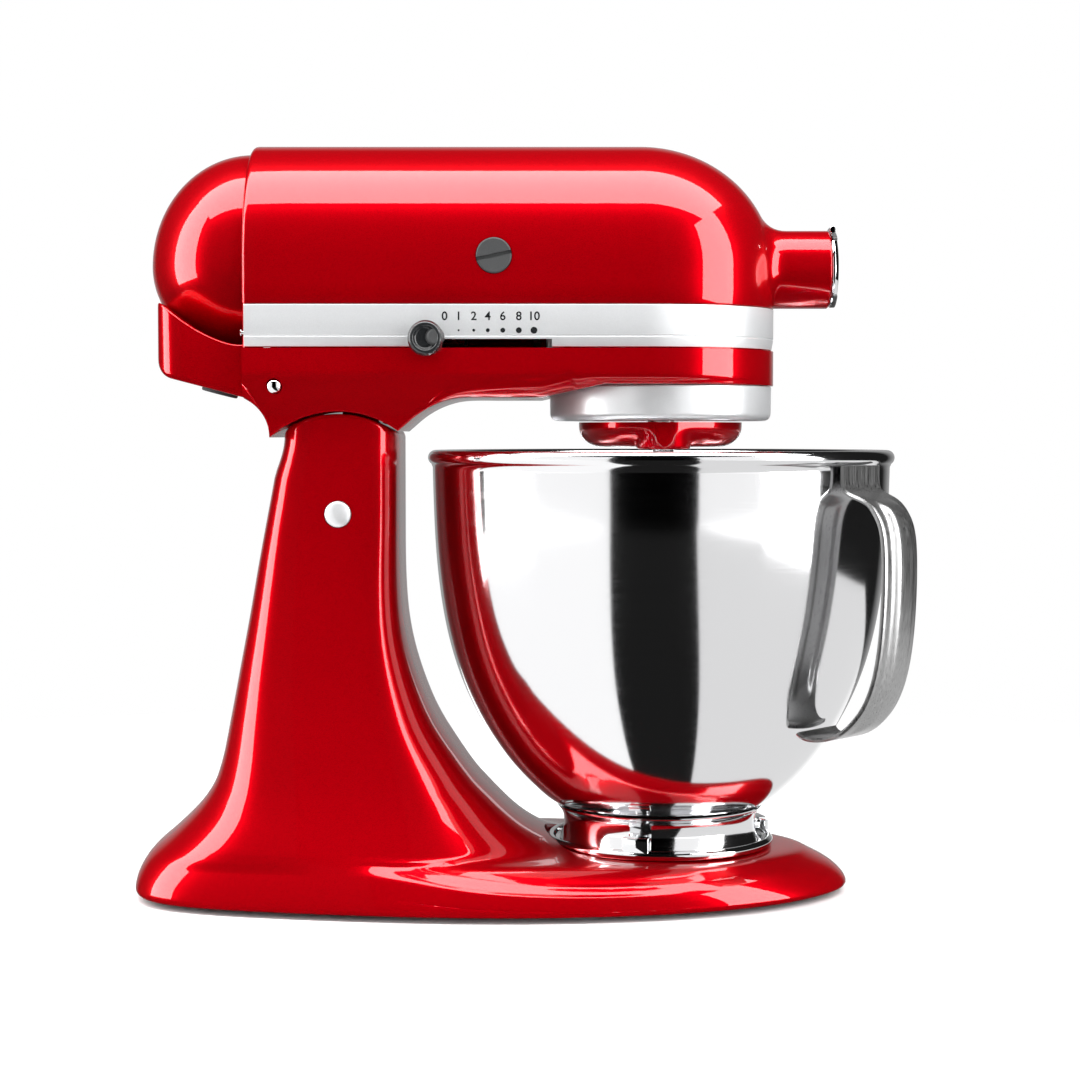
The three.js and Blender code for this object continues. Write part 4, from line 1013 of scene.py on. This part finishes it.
# ---------------------------------------------------------------- levers, hub and planetary


def dressed_controls():
    dome = [(LOCK_RADIUS * math.cos(a), 55.2 + 1.8 * math.sin(a)) for a in np.radians(range(0, 81, 16))]
    shaft = [(0, 57), *reversed(dome), (LOCK_RADIUS, -63.2), (LOCK_RADIUS - 0.4, -63.4), (0, -63.4)]
    carry(turned("lock_shaft_polished", shaft, "chrome_trim", (LOCK.x, 0, LOCK.z), (0, -1, 0), 40),
          "lock_lever", "chrome_trim", "lock_shaft")
    outline = rounded([(-5.2, 5, 3), (5.2, 5, 3), (5.2, -5, 4), (4.4, -23.6, 3.6), (-4.4, -23.6, 3.6),
                       (-5.2, -5, 4)], closed=True)
    arm = prism("lock_paddle", [(LOCK.x + a, LOCK.z + b) for a, b in outline], 57.5, 61.9, "black_gloss")
    round_end = bar("round_end", 6.9, (LOCK.x, 57.5, LOCK.z), (LOCK.x, 62.9, LOCK.z), 64)
    bore = bar("bore", LOCK_RADIUS + 0.3, (LOCK.x, 50, LOCK.z), (LOCK.x, 70, LOCK.z))
    carry(soften(cut(join(arm, round_end), bore), 0.7, 3), "lock_lever", "black_gloss", "lock_lever")

    body = rounded([(0, 2.2), (5.2, 1.6), (7.2, 3, 2), (8, 6, 2), (8, 12.6, 1.2), (6.9, 15.9, 1.3),
                    (5.4, 15.2, 1.2), (4.6, 13.6, 1.2), (0, 13.2)])
    knob = turned("speed_knob_gloss", body, "black_gloss", (KNOB_X, SIDE_FACE, KNOB_Z), (0, -1, 0), 96)
    slot = block("stem_slot", (KNOB_X - 2, -66, KNOB_Z - 3.4), (KNOB_X + 2, SIDE_FACE, KNOB_Z + 0.1))
    carry(cut(knob, slot), "speed_lever", "black_gloss", "speed_knob")
    pointer = rounded([(0, 3), (4.0, 3, 1), (4.3, 13.4, 1.6), (3.0, 15.3, 1), (0, 15.0)])
    at = (KNOB_X + 4.2, SIDE_FACE, KNOB_Z + 0.6)
    carry(turned("speed_pointer", pointer, "black_matte", at, (0, -1, 0), 64), "speed_lever", "black_matte")

    face = HUB_END + 0.3
    cover = rounded([(0, 0), (17.4, 0, 0.5), (17.6, 1.2, 0.4), (16.4, 2.8, 0.7), (12.4, 3.4, 1), (0, 3.4)])
    cap = turned("hub_cap_chrome", cover, "chrome_trim", (face, 0, HUB_Z), (1, 0, 0), 120)
    knuckle = turned("knuckle", rounded([(0, -5), (1.7, -5, 0.3), (1.7, 5, 0.3), (0, 5)]), None,
                     (face + 1.7, 0, HUB_Z + 18.6), (0, 1, 0), 32)
    neck = block("neck", (face + 0.2, -4, HUB_Z + 15), (face + 2.4, 4, HUB_Z + 18.8))
    carry(join(cap, soften(neck, 0.3, 2), knuckle), "hub_cap", "chrome_trim", "hub_cap")
    for label, middle, half in (("top", 90, 38), ("bottom", -90, 42)):
        outer, inner = 17.75, 15.6
        angles = np.radians(np.linspace(middle - half, middle + half, 24))
        sides = ((outer, angles), (inner, angles[::-1]))
        edge = [(r * math.cos(a), HUB_Z + r * math.sin(a)) for r, run in sides for a in run]
        clip = prism(f"hub_cap_clip_{label}", edge, face + 0.7, face + 2.9, "black_matte", across="x")
        carry(soften(clip, 0.25, 2), "hub_cap", "black_matte")

    grip_profile = ((0, 13.9), (3, 13.9), (3, 18.9), (6.6, 18.9), (7.8, 19.3), (8.2, 20.4), (8.2, 24),
                    (8.2, 27.6), (7.7, 29.2), (6.2, 30.2), (4.4, 30.0), (0, 29.6))
    ridges = 16
    rings = []
    for radius, height in grip_profile:
        ridge = 0.35 if radius > 7.5 else 0
        sweep = [(radius + ridge * math.cos(ridges * a), a) for a in whole_turn(160)]
        rings.append([(HUB_KNOB_X + r * math.cos(a), height, HUB_Z + r * math.sin(a)) for r, a in sweep])
    carry(loft("hub_knob_grip", rings, "black_gloss", caps=False), "hub_knob", "black_gloss", "hub_knob")


def planetary_casting():
    """A rounded disc with the beater shaft's boss blended into its near side."""
    radius, low, high = 38.5, 209.5, 222.0
    boss_radius = 12.6
    blend = 2.2
    flat = 0.72
    rings = []
    levels = [(share, 0) for share in (0, 0.2, 0.4, 0.6, flat)]
    levels += [(flat + 0.28 * math.sin(a), 1 - math.cos(a)) for a in np.radians(np.linspace(8, 90, 12))]
    levels = [(share, low + 1.1 + rise * 9.6, False) for share, rise in levels]
    levels += [(1, high, False), (0.9, high, True), (0.5, high, True), (0, high, True)]
    for share, z, inner in levels:
        ring = []
        for angle in whole_turn(200):
            off = angle + math.pi / 2
            side = BEATER_OFFSET * math.sin(off)
            reach = BEATER_OFFSET * math.cos(off) + math.sqrt(max(boss_radius**2 - side**2, 0))
            if math.cos(off) < 0 or abs(side) > boss_radius:
                reach = 0
            disc = radius * share
            edge = disc
            if not inner and share >= 0.7:
                edge = (disc + reach + math.sqrt((disc - reach) ** 2 + blend**2)) / 2
                edge = max(min(edge, BEATER_OFFSET + boss_radius), disc)
            ring.append((BOWL_X + edge * math.cos(angle), edge * math.sin(angle), z))
        rings.append(ring)
    casting = loft("planetary_casting", rings, "red_lacquer", caps=False)
    boss = turned("boss", rounded([(0, low), (12.5, low, 1.2), (12.5, high - 1), (0, high - 1)]), None,
                  (BOWL_X, -BEATER_OFFSET, 0), sides=96)
    bores = (bar("bore", 5.3, (BOWL_X, -BEATER_OFFSET, 205), (BOWL_X, -BEATER_OFFSET, 226)),
             bar("bore", 6.3, (BOWL_X, 0, 205), (BOWL_X, 0, 226)))
    return cut(join(casting, boss), *bores)


def dressed_planetary():
    carry(planetary_casting(), "planetary", "red_lacquer", "planetary")
    shaft = rounded([(0, 190), (5, 190, 0.8), (5, 200, 0.2), (4.4, 200.4, 0.2), (4.4, 201.6, 0.2),
                     (5, 202, 0.2), (5, 237.6, 0.4), (0, 237.6)])
    rod = turned("beater_rod", shaft, "polished_steel", (BOWL_X, -BEATER_OFFSET, 0), sides=64)
    ends = [(BOWL_X + side * 6, -BEATER_OFFSET, 197) for side in (-1, 1)]
    carry(cut(rod, bar("pin_hole", 1.8, *ends, 24)), "beater_drive", "polished_steel", "beater_shaft")
    pin = rounded([(0, -9), (1.5, -9, 0.4), (1.5, 9, 0.4), (0, 9)])
    carry(turned("drive_pin", pin, "polished_steel", (BOWL_X, -BEATER_OFFSET, 197), (1, 0, 0), 40),
          "beater_drive", "polished_steel", "beater_pin")


# ---------------------------------------------------------------- the bowl


def bowl_body():
    """The bowl's thin wall with its rolled rim."""
    sheet = 1.2
    line = smooth_rows([(47.5, 41.4), (53.7, 44.5), (66.5, 56), (79.8, 73), (92.2, 96), (99.8, 119),
                        (104, 141), (106.4, 164), (107.4, 187), (107.8, 201)], 8)
    inner = line + normals(line) * sheet
    bead = [(106.5 + 3.5 * math.cos(a), 205.5 + 3.5 * math.sin(a)) for a in np.radians(range(-56, 205, 12))]
    floor = [(40, 40.8), (44, 40.8), (46, 41.0)]
    top = [(44, 42), (20, 42), (0, 42)]
    profile = [(0, 40.8), *floor, *map(tuple, line), *bead, *map(tuple, inner[::-1]), *top]
    return turned("bowl_body", profile, "polished_steel", (BOWL_X, 0, 0), sides=256)


def foot_ring():
    outer = smooth_rows([(47.6, 24.7), (46.9, 26), (45.9, 29), (45.5, 32.5), (45.9, 36), (47.2, 38.6),
                         (48.3, 39.8)], 5)
    lip = [(48.5, 40.3), (48.1, 40.7), (46.6, 40.7)]
    inner = [(r - 1.5, z) for r, z in reversed(outer.tolist())]
    profile = [*map(tuple, outer), *lip, *inner]
    ring = turned("bowl_foot_ring", profile, "polished_steel", (BOWL_X, 0, 0), sides=160)
    for degrees in HOOK_ANGLES:
        lug = soften(block("lug", (45.3, -3.4, 26.7), (50.1, 3.4, 29.6)), 0.5, 3)
        join(ring, put(lug, (BOWL_X, 0, 0), Matrix.Rotation(math.radians(degrees), 4, "Z")))
    return ring


def strap_handle():
    """The bowl's handle: one strip with a raised middle rib, bent out, down and back to a flared tab."""
    line = smooth_rows(
        [(109.7, 202.5), (109.7, 196.5), (110.6, 191.6), (115, 188.9), (122.6, 185.4), (128.6, 177),
         (130.7, 162), (130, 134), (126.5, 110), (119.5, 93.5), (108.5, 83.6), (97.5, 80.2), (90.5, 80.4),
         (87.6, 82.6)], 8)
    line = evenly(line, 110)
    shares = np.linspace(0, 1, len(line))
    stations = (0, 0.06, 0.1, 0.14, 0.84, 0.92, 0.96, 1)
    widths = np.interp(shares, stations, (32, 32, 31, 29, 29, 27, 29, 33)) / 2
    ribs = np.interp(shares, (0, 0.13, 0.2, 0.78, 0.88, 1), (0, 0, 1, 1, 0, 0))
    across = np.linspace(-1, 1, 41)
    rib_height, rib_edge, rib_softness = 2.6, 0.5, 0.055
    curl_start, taper_start = 0.82, 0.95
    rings = []
    for (r, z), (nr, nz), width, rib in zip(line, normals(line), widths, ribs):
        rib = ease(rib)
        top, bottom = [], []
        for u in across:
            hump = 1 / (1 + math.exp((abs(u) - rib_edge) / rib_softness))
            curl = max(abs(u) - curl_start, 0) / 0.18
            lift = rib * (rib_height * hump - curl**2) - 0.2 * rib
            taper = 1 - rounding((abs(u) - taper_start) / 0.05)
            for side, thick in ((top, 1.0), (bottom, -1.0)):
                offset = lift + thick * max(taper, 0.02)
                side.append((r + nr * offset, u * width, z + nz * offset))
        rings.append(top + bottom[::-1])
    strap = loft("bowl_strap", rings, "brushed_strap")
    return put(strap, (BOWL_X, 0, 0), Matrix.Rotation(HANDLE_TURN, 4, "Z"))


def dressed_bowl():
    carry(bowl_body(), "bowl", "polished_steel", "bowl_shell")
    carry(foot_ring(), "bowl", "polished_steel", "bowl_foot")
    carry(strap_handle(), "bowl", "polished_steel", "bowl_handle")


# ---------------------------------------------------------------- the inner pieces keep their CAD shape


def dressed_inside():
    slots = {part["node"]: part["material_slot"] for part in frame["record"]["subparts"]}
    for name, node in frame["nodes"].items():
        node.data.materials.clear()
        node.data.materials.append(MATERIALS[slots[name]])


# ---------------------------------------------------------------- camera, lights and floor


def studio_camera():
    data = bpy.data.cameras.new("camera")
    data.lens = CAMERA_LENS
    camera = bpy.data.objects.new("camera", data)
    camera.location = CAMERA_AT
    camera.rotation_euler = (math.radians(90 - CAMERA_DIP), 0, 0)
    bpy.context.scene.collection.objects.link(camera)
    bpy.context.scene.camera = camera


def softbox(name, centre, aim, width, height, brightness, only=None):
    """A rectangular studio light; brightness is its surface's, and only limits it to some pieces."""
    data = bpy.data.lights.new(name, "AREA")
    data.shape = "RECTANGLE"
    data.size = width
    data.size_y = height
    data.energy = brightness * math.pi * width * height
    light = bpy.data.objects.new(name, data)
    light.location = centre
    light.rotation_euler = (Vector(aim) - Vector(centre)).to_track_quat("-Z", "Y").to_euler()
    light.visible_camera = False
    bpy.context.scene.collection.objects.link(light)
    if only:
        light.light_linking.receiver_collection = only
    return light


def floor_glow(name, corner, degrees, side, width, brightness, only):
    """A white sheet lying on the floor, with one straight edge running forward from a corner."""
    length = 1.9
    angle = math.radians(degrees)
    along = Vector((math.sin(angle), -math.cos(angle)))
    across = Vector((math.cos(angle), math.sin(angle))) * side
    middle = Vector(corner) + along * length / 2 + across * width / 2
    sheet = softbox(name, (middle.x, middle.y, -0.002), (0, 0, 1), width, length, brightness, only)
    sheet.rotation_euler = (math.pi, 0, angle)


def studio_world():
    """White to the camera and behind the object, dim in front, so that the lacquer stays deep."""
    world = bpy.data.worlds.new("studio")
    bpy.context.scene.world = world
    world.use_nodes = True
    tree = world.node_tree
    background = next(node for node in tree.nodes if node.type == "BACKGROUND")
    place = tree.nodes.new("ShaderNodeTexCoord")
    axes = tree.nodes.new("ShaderNodeSeparateXYZ")
    path = tree.nodes.new("ShaderNodeLightPath")
    brightest = tree.nodes.new("ShaderNodeMath")
    brightest.operation = "MAXIMUM"
    tree.links.new(place.outputs["Generated"], axes.inputs["Vector"])
    tree.links.new(path.outputs["Is Camera Ray"], brightest.inputs[0])
    glow = map_range(tree, axes.outputs["Y"], 0.8, 0.95, FRONT_GLOW, REAR_GLOW)
    tree.links.new(glow, brightest.inputs[1])
    tree.links.new(brightest.outputs["Value"], background.inputs["Strength"])
    background.inputs["Color"].default_value = (1, 1, 1, 1)


def black_card():
    """A black card behind the camera, which only reflections see."""
    MATERIALS["card"] = material("black_card", (0, 0, 0), 0.0, 1.0, Specular_IOR_Level=0.0)
    left, right, back, low, high = -520, 400, -1400, -1, 2000
    corners = [(left, back, low), (right, back, low), (right, back, high), (left, back, high)]
    card = skin("black_card", corners, [(0, 1, 2, 3)], "card")
    card.visible_camera = False
    card.visible_diffuse = False
    card.visible_shadow = False
    card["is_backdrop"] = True


def studio_floor():
    """A pale floor that fades into the white backdrop and that no reflection shows."""
    made = material("floor", (0.9, 0.9, 0.9), 0.0, 0.6, Specular_IOR_Level=0.0)
    tree = made.node_tree
    place = tree.nodes.new("ShaderNodeTexCoord")
    distance = tree.nodes.new("ShaderNodeVectorMath")
    distance.operation = "LENGTH"
    tree.links.new(place.outputs["Object"], distance.inputs[0])
    fade = map_range(tree, distance.outputs["Value"], 0.3, 0.75, 1, 0)
    tree.links.new(fade, principled(made).inputs["Alpha"])
    MATERIALS["floor"] = made
    half, level = 4000, -0.3
    corners = [(-half, -half, level), (half, -half, level), (half, half, level), (-half, half, level)]
    floor = skin("floor", corners, [(0, 1, 2, 3)], "floor")
    floor.visible_glossy = False
    floor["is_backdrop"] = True


def bare_metal():
    """A collection of every piece with a bare metal finish, for the lights that only metal needs."""
    shiny = bpy.data.collections.new("bare_metal")
    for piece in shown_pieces():
        if piece.data.materials[0] != MATERIALS["red_lacquer"]:
            shiny.objects.link(piece)
    return shiny


def studio():
    studio_camera()
    studio_world()
    studio_floor()
    bpy.context.scene.view_settings.view_transform = "Standard"
    metal = bare_metal()
    softbox("top_box", (0.0, -0.26, 1.4), (0.0, -0.26, 0.0), 2.5, 0.84, BOX_GLOW)
    softbox("left_box", (-1.25, -0.2, 0.68), (0.0, -0.2, 0.68), 0.66, 1.44, BOX_GLOW)
    softbox("right_box", (1.25, -0.66, 0.68), (0.0, -0.66, 0.68), 0.8, 1.44, BOX_GLOW)
    softbox("metal_left", (-1.7, -1.55, 0.88), (0.06, 0.0, 0.88), 1.9, 2.0, 1.05, metal)
    softbox("metal_right", (1.6, -1.6, 0.88), (0.06, 0.0, 0.88), 2.4, 2.0, 1.0, metal)
    floor_glow("metal_floor_left", (0.234, 0.3), -27, -1, 1.7, 1.1, metal)
    floor_glow("metal_floor_right", (0.0, 0.3), 14, 1, 0.95, 0.8, metal)
    fill = softbox("front_fill", (0.0, -1.7, 0.6), (0.0, 0.0, 0.2), 1.6, 0.8, 3.4)
    fill.visible_glossy = False
    black_card()


dressed_inside()
dressed_stand()
dressed_head()
dressed_controls()
dressed_planetary()
dressed_bowl()
studio()
